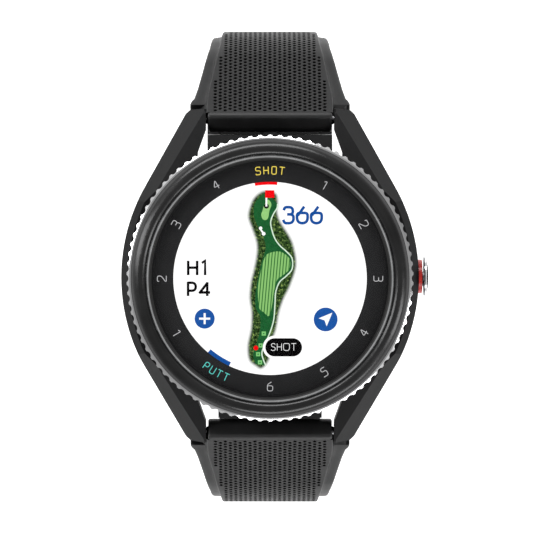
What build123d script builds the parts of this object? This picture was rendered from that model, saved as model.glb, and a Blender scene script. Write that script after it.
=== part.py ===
from build123d import *
from math import asin, cos, degrees, radians, sin, tan
import os

# Golf GPS watch: round case with four lugs, turning bezel, press crown and a two-piece strap.
#
# +Z points out of the display, +Y towards 12 o'clock and +X towards the crown at 3 o'clock.
# The origin is the centre of the flat face of the case back. The strap is unbuckled and its two
# halves arch down on both sides of the case, so the watch stands on them. Millimetres.

os.makedirs("parts", exist_ok=True)

# --- case ---------------------------------------------------------------------------------
case_half_width = 23.8  # at 3 and 9 o'clock
flank_radius = 29.5  # plan radius of the bowed case sides
flank_angle = 29.2  # where the bowed side runs out into the straight lug flank
case_bottom, case_top = 1.2, 9.4
core_radius = 22.3  # round middle of the case under the bezel
lug_tip = 26.9  # y of the inner corner of a lug's end
lug_shoulder = 26.6  # y of the outer corner
lug_inner = 10.3  # half the gap between a pair of lugs
lug_splay, lug_splay_start, lug_splay_end = 11.6, 23.4, 19.8
block_face, block_top_width, block_bottom_width = 22.7, 9.95, 8.3
lug_slope_start = 14.0  # y where the lugs start to fall away from the case top
facet_sum = 41.5  # x + y + z on the outer lug facets
cavity_radius = 17.4
opening_radius = 17.2
seat_radius, seat_top = 20.2, 2.0  # recess for the back
gasket_outer, gasket_inner, gasket_top = 18.0, 17.5, 2.5
side_chamfer, side_chamfer_down, under_chamfer = 1.3, 1.1, 1.0
screw_circle, screw_radius, screw_clearance, screw_count = 18.9, 0.4, 0.05, 4
screw_head_radius, screw_head_top, screw_length = 0.95, 1.5, 3.2
shelf_bottom, shelf_top = 9.9, 10.6
neck_inner, neck_outer, neck_top = 19.1, 20.3, 11.75

# --- bar and strap ------------------------------------------------------------------------
bar_y, bar_z = 25.3, 2.8
bar_radius, bar_half = 0.75, 9.3
tip_radius, tip_reach = 0.4, 11.2
tip_clearance = 0.05
nose_radius = 2.0  # lug nose around the bar
knuckle_radius = 2.2  # strap end around the bar
wing_root_radius = 2.35  # the strap's wings start outside the lug nose
strap_thickness, step_height = 3.0, 0.9
notch_half, notch_length = 1.7, 6.0  # opening for the buckle's tang
hole_pitch, hole_radius, hole_count = 7.0, 1.1, 6
tip_length = 6.0
slope = 57.0  # fall of the strap below the horizontal where it leaves the case
slope_run, shoulder_radius, drop_run, foot_radius = 13.9, 26.5, 23.1, 24.0
head_run, head_radius = 1.6, 0.7  # the outer face runs on past the bar to a blunt head
tail_run = 15.2  # long half, flat end
short_end_angle = 74.0  # how far the short half turns along the foot arc
wing_half, wing_end_half = 12.85, 8.8
centre_half, centre_end_half = 9.95, 7.65
# z and half width of the strap on its way down
wing_taper = [(3, wing_half), (-1.5, 11.8), (-6.1, 10.95), (-13, 9.95), (-21, 9.45), (-44, wing_end_half)]
centre_taper = [(3, centre_half), (-2.5, 9.3), (-8.5, 8.45), (-20, centre_end_half)]
pin_radius, pin_clearance = 0.75, 0.05
fixed_keeper_angle, free_keeper_angle = 53.8, 43.6  # along the foot arc
keeper_half, keeper_wall, keeper_gap, keeper_clearance = 2.0, 0.9, 3.3, 0.25
lever_travel, lever_reach, lever_play = 1.0, 2.6, 0.3
lever_half, lever_width = 0.45, 0.8
front_y, front_radius = 6.2, 1.4  # the buckle's front bar
arm_inner, arm_outer, eye_radius, pin_inset = 9.1, 10.9, 1.7, 0.5
tang_half, tang_thick, tang_gap, tang_eye = 1.1, 1.1, 0.1, 1.45

# --- bezel and glass ----------------------------------------------------------------------
bezel_inner, bezel_outer, bezel_peak = 19.85, 22.2, 12.95
ridge_radius, bezel_lip, bezel_ceiling = 20.7, 12.55, 12.0
skirt_inner, skirt_outer, bezel_bottom = 20.6, 21.25, 9.7
coin_outer, coin_top, coin_count, coin_notch, coin_depth = 22.85, 11.3, 90, 0.75, 0.3
glass_radius, glass_bottom, glass_top = 18.85, 11.3, 12.75
window_radius = 15.4
print_gap = 0.05  # room for the picture and the printed figures
gasket_low, gasket_high = 11.1, 12.6
trim_outer, trim_top = 19.8, 12.85
holder_outer, holder_inner, panel_radius, panel_bottom, panel_top = 18.9, 17.0, 16.9, 9.6, 10.9
wire_z, wire_radius, wire_gap = 11.0, 0.2, 10  # the gap of the wire in degrees
slide_inner, slide_outer = 20.7, 21.2
click_inner, click_outer, click_thick, click_height, click_count = 21.5, 22.2, 0.12, 0.22, 3

# --- inside the case ----------------------------------------------------------------------
board_bottom, board_top, board_radius = 6.4, 7.2, 16.4
frame_bottom, frame_outer, frame_inner = 2.6, 17.3, 15.4
post_circle, post_radius, post_bore = 14.2, 1.5, 0.5

# --- crown --------------------------------------------------------------------------------
crown_z = 5.2
crown_radius, crown_skirt_inner, dome_radius = 3.12, 2.8, 12.4
crown_skirt_start, crown_web, crown_end = 24.65, 24.95, 25.4
accent_radius, accent_end = 2.72, 24.35
tube_radius, tube_start, tube_end = 2.4, 17.6, 24.4
stem_radius, stem_bore, stem_start = 0.75, 0.8, 16.6
accent_start = 23.2
spring_pocket, spring_pocket_start = 1.9, 22.6
crown_coil_pitch, crown_coil_length, crown_coil_radius, crown_coil_wire = 0.7, 2.0, 1.4, 0.15
crown_coil_start = spring_pocket_start + crown_coil_wire + 0.02
seal_radius, seal_bore, seal_start, seal_length = 1.3, 0.79, 20.4, 0.8
clip_start, clip_thick, clip_radius, groove_radius = 17.0, 0.3, 1.5, 0.5
switch_bottom, switch_height, switch_x, switch_length, switch_width = 3.9, 2.4, 14.4, 1.6, 3.6

# --- worked out ---------------------------------------------------------------------------
fall = Vector(cos(radians(slope)), -sin(radians(slope)))  # strap direction, in (y, z)
out = Vector(sin(radians(slope)), cos(radians(slope)))  # outward from the strap there
bar = Vector(bar_y, bar_z)
slope_start = bar + out * knuckle_radius
slope_end = slope_start + fall * slope_run
shoulder_centre = slope_end - out * shoulder_radius
drop_y = shoulder_centre.X + shoulder_radius
foot_centre = Vector(drop_y - foot_radius, shoulder_centre.Y - drop_run)
floor_z = foot_centre.Y - foot_radius
end_direction = Vector(cos(radians(short_end_angle)), -sin(radians(short_end_angle)))
pin_centre = foot_centre + end_direction * (foot_radius - strap_thickness / 2)
front_z = floor_z + front_radius
lever_x = -(bar_half - 2.6)
tang_low = floor_z + tang_gap


def save(part, name):
    """Label a finished piece and write its STEP file."""
    part.label = name
    export_step(part, f"parts/{name}.step")


def tube(outer, inner, bottom, top):
    """A plain ring or tube about the Z axis."""
    with BuildPart() as ring:
        with BuildSketch(Plane.XY.offset(bottom)):
            Circle(outer)
            Circle(inner, mode=Mode.SUBTRACT)
        extrude(amount=top - bottom)
    return ring.part


def disc(radius, bottom, top, edge=0.0):
    """A plain round plate about the Z axis, with its edges broken."""
    with BuildPart() as plate:
        with BuildSketch(Plane.XY.offset(bottom)):
            Circle(radius)
        extrude(amount=top - bottom)
        if edge:
            chamfer(plate.edges(), edge)
    return plate.part


# === case =================================================================================
flank_start = Vector(
    case_half_width - flank_radius * (1 - cos(radians(flank_angle))),
    flank_radius * sin(radians(flank_angle)),
)
flank_end = Vector(
    flank_start.X - (lug_shoulder - flank_start.Y) * tan(radians(flank_angle)), lug_shoulder
)

with BuildPart() as mid_case:
    # plan of the case and lugs
    with BuildSketch(Plane.XY):
        with BuildLine():
            flank = CenterArc((case_half_width - flank_radius, 0), flank_radius, 0, flank_angle)
            Polyline(flank @ 1, flank_end, (lug_inner, lug_tip), (0, lug_tip), (0, 0), flank @ 0)
        make_face()
        mirror(about=Plane.XZ)
        mirror(about=Plane.YZ)
        for side in (1, -1):
            with BuildLine():
                Polyline(
                    (lug_inner, side * (lug_tip + 1)),
                    (lug_inner, side * lug_splay_start),
                    (lug_splay, side * lug_splay_end),
                    (lug_splay, side * core_radius / 2),
                    (-lug_splay, side * core_radius / 2),
                    (-lug_splay, side * lug_splay_end),
                    (-lug_inner, side * lug_splay_start),
                    (-lug_inner, side * (lug_tip + 1)),
                    close=True,
                )
            make_face(mode=Mode.SUBTRACT)
        with Locations((0, block_face / 2)):
            Rectangle(2 * block_top_width, block_face)
        with Locations((0, -block_face / 2)):
            Rectangle(2 * block_bottom_width, block_face)
    extrude(amount=case_top)
    # side profile: flat middle, lugs falling to a round nose at the bar
    with BuildSketch(Plane.YZ):
        with Locations((0, (case_bottom + case_top) / 2)):
            Rectangle(2 * lug_slope_start, case_top - case_bottom)
        with Locations((bar_y, bar_z), (-bar_y, bar_z)):
            Circle(nose_radius)
        make_hull()
    extrude(amount=case_half_width + 1, both=True, mode=Mode.INTERSECT)
    # outer lug facets
    for sx in (1, -1):
        for sy in (1, -1):
            facet = facet_sum / 3
            split(
                bisect_by=Plane(origin=(sx * facet, sy * facet, facet), z_dir=(sx, sy, 1)),
                keep=Keep.BOTTOM,
            )
    side_edges = mid_case.edges().filter_by(GeomType.CIRCLE).group_by(Axis.Z)[-1]
    chamfer(side_edges, side_chamfer, side_chamfer_down)
    under_edges = mid_case.edges().filter_by(GeomType.CIRCLE).filter_by(
        lambda edge: abs(edge.radius - flank_radius) < 0.01 and edge.center().Z < case_bottom + 1
    )
    chamfer(under_edges, under_chamfer)
    # round core and neck
    with BuildSketch(Plane.XY.offset(case_bottom)):
        Circle(core_radius)
    extrude(amount=case_top - case_bottom)
    with BuildSketch(Plane.XY.offset(case_top)):
        Circle(neck_outer)
    extrude(amount=neck_top - case_top)
    # back recess, gasket seat, cavity, opening and glass seat
    for radius, bottom, top in (
        (seat_radius, 0.0, seat_top),
        (gasket_outer, seat_top, gasket_top),
        (cavity_radius, gasket_top, shelf_bottom),
        (opening_radius, shelf_bottom, shelf_top),
        (neck_inner, shelf_top, neck_top),
    ):
        with BuildSketch(Plane.XY.offset(bottom)):
            Circle(radius)
        extrude(amount=top - bottom, mode=Mode.SUBTRACT)
    # bar tip holes, blind into the lugs
    with BuildSketch(Plane.YZ):
        with Locations((bar_y, bar_z), (-bar_y, bar_z)):
            Circle(tip_radius + tip_clearance)
    extrude(amount=tip_reach + 0.4, both=True, mode=Mode.SUBTRACT)
    # crown bore and the seat of its accent ring
    with BuildSketch(Plane.YZ.offset(cavity_radius - 1)):
        with Locations((0, crown_z)):
            Circle(tube_radius)
    extrude(amount=case_half_width, mode=Mode.SUBTRACT)
    with BuildSketch(Plane.YZ.offset(accent_start)):
        with Locations((0, crown_z)):
            Circle(accent_radius)
    extrude(amount=case_half_width - accent_start + 1, mode=Mode.SUBTRACT)
    # back screw holes
    with BuildSketch(Plane.XY.offset(seat_top)):
        with PolarLocations(screw_circle, screw_count, start_angle=45):
            Circle(screw_radius + screw_clearance)
    extrude(amount=screw_length - (seat_top - screw_head_top) + 0.3, mode=Mode.SUBTRACT)
save(mid_case.part, "mid_case")

# === back =================================================================================
foot_circle, rim_inner, rim_outer = 15.8, 17.6, seat_radius - 0.1
back_inside_radius, back_floor = 16.8, 1.1
contact_pitch, contact_y, contact_count, contact_radius, contact_height = 2.5, -9.0, 4, 0.78, 1.5
contact_slot_length, contact_slot_width, contact_sunk = 12.4, 3.4, 0.1
insulator_sunk, insulator_height = 0.05, 1.35
with BuildPart() as back_cover:
    with BuildSketch(Plane.XZ):
        with BuildLine():
            Polyline(
                (0, 0), (foot_circle, 0), (rim_inner - 0.4, case_bottom - 0.3), (rim_inner, case_bottom),
                (rim_outer, case_bottom), (rim_outer, seat_top), (back_inside_radius, seat_top),
                (back_inside_radius, back_floor), (0, back_floor), close=True,
            )
        make_face()
    revolve(axis=Axis.Z)
    with BuildSketch(Plane.XY):
        with Locations((0, contact_y)):
            SlotOverall(contact_slot_length, contact_slot_width)
    extrude(amount=seat_top, mode=Mode.SUBTRACT)
    for radius, top in ((screw_radius + 0.15, seat_top), (screw_head_radius + 0.1, screw_head_top)):
        with BuildSketch(Plane.XY):
            with PolarLocations(screw_circle, screw_count, start_angle=45):
                Circle(radius)
        extrude(amount=top, mode=Mode.SUBTRACT)
save(back_cover.part, "back_cover")

save(tube(gasket_outer, gasket_inner, seat_top, gasket_top), "back_gasket")

screw_head_low, cross_length, cross_width, cross_depth = 1.22, 1.3, 0.22, 0.14
with BuildPart() as back_screws:
    with BuildSketch(Plane.XY.offset(screw_head_low)):
        with PolarLocations(screw_circle, screw_count, start_angle=45):
            Circle(screw_head_radius)
    extrude(amount=screw_head_top - screw_head_low)
    with BuildSketch(Plane.XY.offset(screw_head_top)):
        with PolarLocations(screw_circle, screw_count, start_angle=45):
            Circle(screw_radius)
    extrude(amount=screw_length)
    with BuildSketch(Plane.XY.offset(screw_head_low)):
        with PolarLocations(screw_circle, screw_count, start_angle=45):
            Rectangle(cross_length, cross_width)
            Rectangle(cross_width, cross_length)
    extrude(amount=cross_depth, mode=Mode.SUBTRACT)
save(back_screws.part, "back_screws")

with BuildPart() as contact_insulator:
    with BuildSketch(Plane.XY.offset(insulator_sunk)):
        with Locations((0, contact_y)):
            SlotOverall(contact_slot_length - 0.1, contact_slot_width - 0.1)
            with GridLocations(contact_pitch, 0, contact_count, 1):
                Circle(contact_radius + 0.02, mode=Mode.SUBTRACT)
    extrude(amount=insulator_height)
save(contact_insulator.part, "contact_insulator")

with BuildPart() as charge_contacts:
    with BuildSketch(Plane.XY.offset(contact_sunk)):
        with Locations((0, contact_y)):
            with GridLocations(contact_pitch, 0, contact_count, 1):
                Circle(contact_radius)
    extrude(amount=contact_height)
save(charge_contacts.part, "charge_contacts")

# === glass, printed ring and display ======================================================
save(disc(glass_radius, glass_bottom, glass_top, 0.2), "crystal")
save(tube(neck_inner, glass_radius, gasket_low, gasket_high), "crystal_gasket")

with BuildPart() as crystal_trim_ring:
    with BuildSketch(Plane.XZ):
        with BuildLine():
            Polyline(
                (neck_inner, neck_top), (trim_outer, neck_top), (trim_outer, trim_top - 0.25),
                (trim_outer - 0.2, trim_top), (neck_inner + 0.15, trim_top), (neck_inner, trim_top - 0.15),
                close=True,
            )
        make_face()
    revolve(axis=Axis.Z)
save(crystal_trim_ring.part, "crystal_trim_ring")

save(tube(glass_radius - print_gap, window_radius, gasket_low, glass_bottom - print_gap), "dial_ring")
save(disc(glass_radius - print_gap, panel_top + print_gap, gasket_low), "touch_sensor")
save(tube(holder_outer, holder_inner, shelf_top, panel_top), "display_holder")
save(disc(panel_radius, panel_bottom, panel_top, 0.1), "display_panel")

# === turning bezel ========================================================================
with BuildPart() as bezel_top:
    with BuildSketch(Plane.XZ):
        with BuildLine():
            Polyline(
                (bezel_outer, coin_top), (skirt_outer, coin_top), (skirt_outer, bezel_bottom),
                (skirt_inner, bezel_bottom), (skirt_inner, bezel_ceiling), (bezel_inner, bezel_ceiling),
                (bezel_inner, bezel_lip),
            )
            ThreePointArc(
                (bezel_inner, bezel_lip), (bezel_inner + 0.35, bezel_lip + 0.3), (ridge_radius, bezel_peak)
            )
            ThreePointArc(
                (ridge_radius, bezel_peak), (bezel_outer - 0.4, bezel_lip - 0.15), (bezel_outer, coin_top)
            )
        make_face()
    revolve(axis=Axis.Z)
    # groove for the retaining wire
    with BuildSketch(Plane.XZ):
        with Locations((skirt_inner, wire_z)):
            Rectangle(3 * wire_radius, 2 * wire_radius + 0.1)
    revolve(axis=Axis.Z, mode=Mode.SUBTRACT)
save(bezel_top.part, "bezel_top")

with BuildPart() as coin_edge_ring:
    with BuildSketch(Plane.XY.offset(bezel_bottom)):
        Circle(coin_outer)
        Circle(skirt_outer, mode=Mode.SUBTRACT)
        with PolarLocations(coin_outer - coin_depth + coin_notch, coin_count):
            Circle(coin_notch, mode=Mode.SUBTRACT)
    extrude(amount=coin_top - bezel_bottom)
    with BuildSketch(Plane.XZ):
        with BuildLine():
            Polyline(
                (skirt_outer - 1, bezel_bottom), (coin_outer - 0.35, bezel_bottom),
                (coin_outer + 0.15, bezel_bottom + 0.4), (coin_outer + 0.15, coin_top - 0.35),
                (coin_outer - 0.4, coin_top), (skirt_outer - 1, coin_top), close=True,
            )
        make_face()
    revolve(axis=Axis.Z, mode=Mode.INTERSECT)
save(coin_edge_ring.part, "coin_edge_ring")

save(tube(slide_outer, slide_inner, case_top, bezel_bottom - 0.1), "bezel_slide_ring")

with BuildPart() as bezel_click_spring:
    with BuildSketch(Plane.XY.offset(case_top)):
        Circle(click_outer)
        Circle(click_inner, mode=Mode.SUBTRACT)
    extrude(amount=click_thick)
    with BuildSketch(Plane.XY.offset(case_top)):
        with PolarLocations((click_inner + click_outer) / 2, click_count):
            Rectangle(0.5, 1.6)
    extrude(amount=click_height)
save(bezel_click_spring.part, "bezel_click_spring")

with BuildPart() as bezel_retaining_wire:
    with BuildSketch(Plane.XZ):
        with Locations((neck_outer + wire_radius, wire_z)):
            Circle(wire_radius)
    revolve(axis=Axis.Z, revolution_arc=360 - wire_gap)
save(bezel_retaining_wire.part, "bezel_retaining_wire")

# === inside the case ======================================================================
with BuildPart() as inner_frame:
    with BuildSketch(Plane.XY.offset(frame_bottom)):
        Circle(frame_outer)
        Circle(frame_inner, mode=Mode.SUBTRACT)
        with PolarLocations(post_circle, 3, start_angle=90):
            Circle(post_radius)
        with PolarLocations(post_circle, 3, start_angle=90):
            Circle(post_bore, mode=Mode.SUBTRACT)
        # opening for the crown's switch
        with Locations((cavity_radius, 0)):
            Rectangle(8, 7, mode=Mode.SUBTRACT)
    extrude(amount=board_bottom - frame_bottom)
save(inner_frame.part, "inner_frame")

with BuildPart() as main_board:
    with BuildSketch(Plane.XY.offset(board_bottom)):
        Circle(board_radius)
        with PolarLocations(post_circle, 3, start_angle=90):
            Circle(post_bore + 0.05, mode=Mode.SUBTRACT)
        # opening for the battery's lead
        with Locations((-board_radius, 0)):
            Rectangle(4, 6, mode=Mode.SUBTRACT)
    extrude(amount=board_top - board_bottom)
save(main_board.part, "main_board")

with BuildPart() as chassis_screws:
    with BuildSketch(Plane.XY.offset(frame_bottom + 0.8)):
        with PolarLocations(post_circle, 3, start_angle=90):
            Circle(post_bore - 0.05)
    extrude(amount=board_top - frame_bottom - 0.8)
    with BuildSketch(Plane.XY.offset(board_top)):
        with PolarLocations(post_circle, 3, start_angle=90):
            Circle(screw_head_radius)
            Rectangle(cross_length, cross_width, mode=Mode.SUBTRACT)
    extrude(amount=0.5)
save(chassis_screws.part, "chassis_screws")

with BuildPart() as shield_can:
    with BuildSketch(Plane.XY.offset(board_top)):
        with Locations((-6.5, 5)):
            RectangleRounded(10, 9, 0.6)
    extrude(amount=1.3)
    fillet(shield_can.faces().sort_by(Axis.Z)[-1].edges(), 0.3)
save(shield_can.part, "shield_can")

with BuildPart() as gps_module:
    with BuildSketch(Plane.XY.offset(board_top)):
        with Locations((6, 5)):
            RectangleRounded(9, 9, 0.4)
    extrude(amount=1.6)
    chamfer(gps_module.faces().sort_by(Axis.Z)[-1].edges(), 0.2)
save(gps_module.part, "gps_module")

with BuildPart() as board_chips:
    with BuildSketch(Plane.XY.offset(board_top)):
        with Locations((4, -5)):
            Rectangle(5, 5)
        with Locations((10, -4)):
            Rectangle(3, 4)
    extrude(amount=0.9)
    with BuildSketch(Plane.XY.offset(board_top)):
        with Locations((4, -10)):
            with GridLocations(2.2, 2.0, 4, 2):
                Rectangle(1.2, 0.7)
    extrude(amount=0.5)
save(board_chips.part, "board_chips")

with BuildPart() as gps_antenna:
    with BuildSketch(Plane.XY.offset(board_top)):
        with BuildLine():
            wide = CenterArc((0, 0), 16.3, 20, 60)
            narrow = CenterArc((0, 0), 15.5, 20, 60)
            Line(wide @ 0, narrow @ 0)
            Line(wide @ 1, narrow @ 1)
        make_face()
    extrude(amount=2.0)
save(gps_antenna.part, "gps_antenna")

with BuildPart() as battery:
    with BuildSketch(Plane.XY.offset(frame_bottom)):
        RectangleRounded(20, 18, 1.5)
    extrude(amount=3.6)
    fillet(battery.edges().group_by(Axis.Z)[-1] + battery.edges().group_by(Axis.Z)[0], 0.5)
save(battery.part, "battery")

with BuildPart() as battery_lead:
    with BuildLine(Plane.XZ):
        lead_path = FilletPolyline((-10, 4.4), (-12.6, 4.4), (-14.9, 6.2), (-14.9, 8.0), radius=0.8)
    with BuildSketch(Plane(origin=lead_path @ 0, z_dir=lead_path % 0)):
        with GridLocations(0, 1.2, 1, 2):
            Circle(0.4)
    sweep()
save(battery_lead.part, "battery_lead")

with BuildPart() as vibration_motor:
    with BuildSketch(Plane.XY.offset(board_top)):
        with Locations((-7, -7)):
            Circle(4)
    extrude(amount=2.1)
    fillet(vibration_motor.edges().group_by(Axis.Z)[-1], 0.3)
save(vibration_motor.part, "vibration_motor")

with BuildPart() as display_flex:
    with BuildSketch(Plane.YZ):
        with BuildLine():
            FilletPolyline(
                (0, panel_bottom), (0, 9.45), (13.2, 9.45), (13.2, board_top), (12.9, board_top),
                (12.9, 9.2), (-4, 9.2), (-4, panel_bottom), radius=0.1,
            )
            Line((-4, panel_bottom), (0, panel_bottom))
        make_face()
    extrude(amount=3, both=True)
    mirror(about=Plane.XZ, mode=Mode.REPLACE)
save(display_flex.part, "display_flex")

# === crown ================================================================================
def along_x(start):
    """A sketch plane across the crown's axis, start along X."""
    return Plane(origin=(start, 0, crown_z), x_dir=(0, 1, 0), z_dir=(1, 0, 0))


with BuildPart() as crown_tube:
    with BuildSketch(along_x(tube_start)):
        Circle(tube_radius)
        Circle(stem_bore, mode=Mode.SUBTRACT)
    extrude(amount=tube_end - tube_start)
    with BuildSketch(along_x(spring_pocket_start)):
        Circle(spring_pocket)
    extrude(amount=tube_end - spring_pocket_start, mode=Mode.SUBTRACT)
    with BuildSketch(along_x(seal_start)):
        Circle(seal_radius)
    extrude(amount=seal_length, mode=Mode.SUBTRACT)
save(crown_tube.part, "crown_tube")

with BuildPart() as crown_accent_ring:
    with BuildSketch(along_x(accent_start)):
        Circle(accent_radius)
        Circle(tube_radius, mode=Mode.SUBTRACT)
    extrude(amount=accent_end - accent_start)
save(crown_accent_ring.part, "crown_accent_ring")

with BuildPart() as crown_seal:
    with BuildSketch(along_x(seal_start)):
        Circle(seal_radius)
        Circle(seal_bore, mode=Mode.SUBTRACT)
    extrude(amount=seal_length)
save(crown_seal.part, "crown_seal")

with BuildPart() as crown_spring:
    with BuildLine():
        coil = Helix(
            pitch=crown_coil_pitch, height=crown_coil_length, radius=crown_coil_radius,
            center=(crown_coil_start, 0, crown_z), direction=(1, 0, 0),
        )
    with BuildSketch(Plane(origin=coil @ 0, z_dir=coil % 0)):
        Circle(crown_coil_wire)
    sweep()
save(crown_spring.part, "crown_spring")

dome_centre = crown_end - dome_radius
dome_edge = dome_centre + (dome_radius**2 - crown_radius**2) ** 0.5
with BuildPart() as crown_cap:
    with BuildSketch(Plane.XZ):
        with BuildLine():
            ThreePointArc(
                (crown_end, crown_z),
                (dome_centre + (dome_radius**2 - crown_radius**2 / 4) ** 0.5, crown_z + crown_radius / 2),
                (dome_edge, crown_z + crown_radius),
            )
            Polyline(
                (dome_edge, crown_z + crown_radius), (crown_skirt_start, crown_z + crown_radius),
                (crown_skirt_start, crown_z + crown_skirt_inner), (crown_web, crown_z + crown_skirt_inner),
                (crown_web, crown_z), (crown_end, crown_z),
            )
        make_face()
    revolve(axis=Axis((0, 0, crown_z), (1, 0, 0)))
save(crown_cap.part, "crown_cap")

with BuildPart() as crown_stem:
    with BuildSketch(along_x(stem_start)):
        Circle(stem_radius)
    extrude(amount=crown_web - stem_start)
    with BuildSketch(along_x(clip_start)):
        Circle(stem_bore)
        Circle(groove_radius, mode=Mode.SUBTRACT)
    extrude(amount=clip_thick, mode=Mode.SUBTRACT)
save(crown_stem.part, "crown_stem")

with BuildPart() as crown_clip:
    with BuildSketch(along_x(clip_start)):
        Circle(clip_radius)
        Circle(groove_radius, mode=Mode.SUBTRACT)
        with Locations((0, -1)):
            Rectangle(0.8, 2, mode=Mode.SUBTRACT)
    extrude(amount=clip_thick)
save(crown_clip.part, "crown_clip")

with BuildPart() as crown_switch:
    with BuildSketch(Plane.XY.offset(switch_bottom)):
        with Locations((switch_x, 0)):
            Rectangle(switch_length, switch_width)
    extrude(amount=switch_height)
    # its plunger
    with BuildSketch(along_x(switch_x + switch_length / 2)):
        Circle(0.5)
    extrude(amount=0.7)
save(crown_switch.part, "crown_switch")

with BuildPart() as switch_flex:
    with BuildSketch(Plane.XY.offset(switch_bottom)):
        with Locations((switch_x - switch_length / 2 - 0.15, 0)):
            Rectangle(0.3, 3.0)
    extrude(amount=board_bottom - switch_bottom)
save(switch_flex.part, "switch_flex")

# === strap ================================================================================
def leg_line(depth, end_angle, tail):
    """One side line of a strap half in (y, z), depth below its outer face, from the bar down."""
    start = slope_start - out * depth
    run = Line(start, start + fall * slope_run)
    shoulder = JernArc(run @ 1, run % 1, shoulder_radius - depth, slope - 90)
    drop = Line(shoulder @ 1, (shoulder @ 1) + Vector(0, -drop_run))
    foot = JernArc(drop @ 1, drop % 1, foot_radius - depth, -end_angle)
    if tail:
        return start, Line(foot @ 1, (foot @ 1) + Vector(-tail, 0)) @ 1
    return start, foot @ 1


def leg_slab(half_width, outer_depth, inner_depth, end_angle, tail, taper):
    """A layer of a strap half between two depths, narrowing down its length."""
    with BuildPart() as slab:
        with BuildSketch(Plane.YZ):
            with BuildLine():
                outer_start, outer_end = leg_line(outer_depth, end_angle, tail)
                inner_start, inner_end = leg_line(inner_depth, end_angle, tail)
                Line(outer_start, inner_start)
                Line(outer_end, inner_end)
            make_face()
        extrude(amount=half_width, both=True)
        with BuildSketch(Plane.XZ):
            with BuildLine():
                edge = Spline(*[(width, z) for z, width in taper], tangents=[(0, -1), (0, -1)])
                Polyline(edge @ 1, (taper[-1][1], floor_z - 1), (0, floor_z - 1), (0, 8))
                Polyline((0, 8), (taper[0][1], 8), edge @ 0)
            make_face()
            mirror(about=Plane.YZ)
        extrude(amount=2 * drop_y, both=True, mode=Mode.INTERSECT)
    return slab.part


def strap_half(end_angle, tail):
    """One strap half on the +Y side: wings, raised centre and the knuckle around the bar."""
    wings = leg_slab(wing_half, step_height, strap_thickness, end_angle, tail, wing_taper)
    centre = leg_slab(centre_half, 0, strap_thickness, end_angle, tail, centre_taper)
    with BuildPart() as half:
        add(wings)
        with BuildSketch(Plane.YZ):
            with Locations((bar_y, bar_z)):
                Circle(wing_root_radius)
        extrude(amount=wing_half, both=True, mode=Mode.SUBTRACT)
        add(centre)
        # knuckle around the bar, drawn out to the blunt head of the outer face
        with BuildSketch(Plane.YZ):
            with Locations((bar_y, bar_z)):
                Circle(knuckle_radius)
            with Locations(slope_start - fall * head_run - out * head_radius):
                Circle(head_radius)
            make_hull()
        extrude(amount=centre_half, both=True)
        # bore for the spring bar, and the slot of its release lever
        with BuildSketch(Plane.YZ):
            with Locations((bar_y, bar_z)):
                Circle(bar_radius)
        extrude(amount=centre_half, both=True, mode=Mode.SUBTRACT)
        with BuildSketch(Plane.XY.offset(bar_z)):
            with Locations((lever_x + lever_travel / 2, bar_y)):
                Rectangle(2 * lever_half + lever_travel + 2 * lever_play, 2 * bar_radius + 0.2)
        extrude(amount=-knuckle_radius - 1, mode=Mode.SUBTRACT)
    return half.part


with BuildPart() as strap_short:
    add(strap_half(short_end_angle, 0))
    with BuildSketch(Plane.YZ):
        with Locations((pin_centre.X, pin_centre.Y)):
            Circle(strap_thickness / 2)
    extrude(amount=wing_end_half, both=True)
    with BuildSketch(Plane.YZ):
        with Locations((pin_centre.X, pin_centre.Y)):
            Circle(pin_radius + pin_clearance)
    extrude(amount=wing_end_half, both=True, mode=Mode.SUBTRACT)
    with BuildSketch(Plane.XY.offset(floor_z)):
        with Locations((0, pin_centre.X - strap_thickness + notch_length / 2 + 1)):
            SlotOverall(notch_length + 4, 2 * notch_half, rotation=90)
    extrude(amount=2 * strap_thickness, mode=Mode.SUBTRACT)
save(strap_short.part, "strap_short")

with BuildPart() as strap_long_up:
    add(strap_half(90, tail_run))
    # rounded tip
    with BuildSketch(Plane.XY.offset(floor_z - 1)):
        with Locations((0, foot_centre.X - tail_run + tip_length / 2)):
            Rectangle(2 * wing_half, tip_length)
        with Locations((0, foot_centre.X - tail_run + tip_length)):
            Ellipse(wing_end_half, tip_length, mode=Mode.SUBTRACT)
    extrude(amount=strap_thickness + 2, mode=Mode.SUBTRACT)
    for index in range(hole_count):
        turn = radians(90) - index * hole_pitch / foot_radius
        centre = Vector(0, foot_centre.X, foot_centre.Y)
        ray = Vector(0, cos(turn), -sin(turn))
        with BuildSketch(Plane(origin=centre + ray * (foot_radius + 1), z_dir=-ray)):
            Circle(hole_radius)
        extrude(amount=strap_thickness + 2, mode=Mode.SUBTRACT)
save(strap_long_up.part.mirror(Plane.XZ), "strap_long")


def keeper(middle_angle, clearance):
    """A loop around the short half on its foot arc, with room outside it for the long half."""
    inner = foot_radius - strap_thickness - clearance
    outer = foot_radius + keeper_gap
    spread = degrees(asin(keeper_half / foot_radius))
    with BuildPart() as loop:
        for low, high, half_width, how in (
            (inner - keeper_wall, outer + keeper_wall, wing_end_half + clearance + keeper_wall, Mode.ADD),
            (inner, outer, wing_end_half + clearance, Mode.SUBTRACT),
        ):
            grow = 0 if how == Mode.ADD else 5
            with BuildSketch(Plane.YZ):
                with BuildLine():
                    first = -middle_angle - spread - grow
                    sweep_angle = 2 * (spread + grow)
                    low_arc = CenterArc(foot_centre, low, first, sweep_angle)
                    high_arc = CenterArc(foot_centre, high, first, sweep_angle)
                    Line(low_arc @ 0, high_arc @ 0)
                    Line(low_arc @ 1, high_arc @ 1)
                make_face()
            extrude(amount=half_width, both=True, mode=how)
    return loop.part


save(keeper(fixed_keeper_angle, 0.0), "fixed_keeper")
save(keeper(free_keeper_angle, keeper_clearance), "free_keeper")


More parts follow.
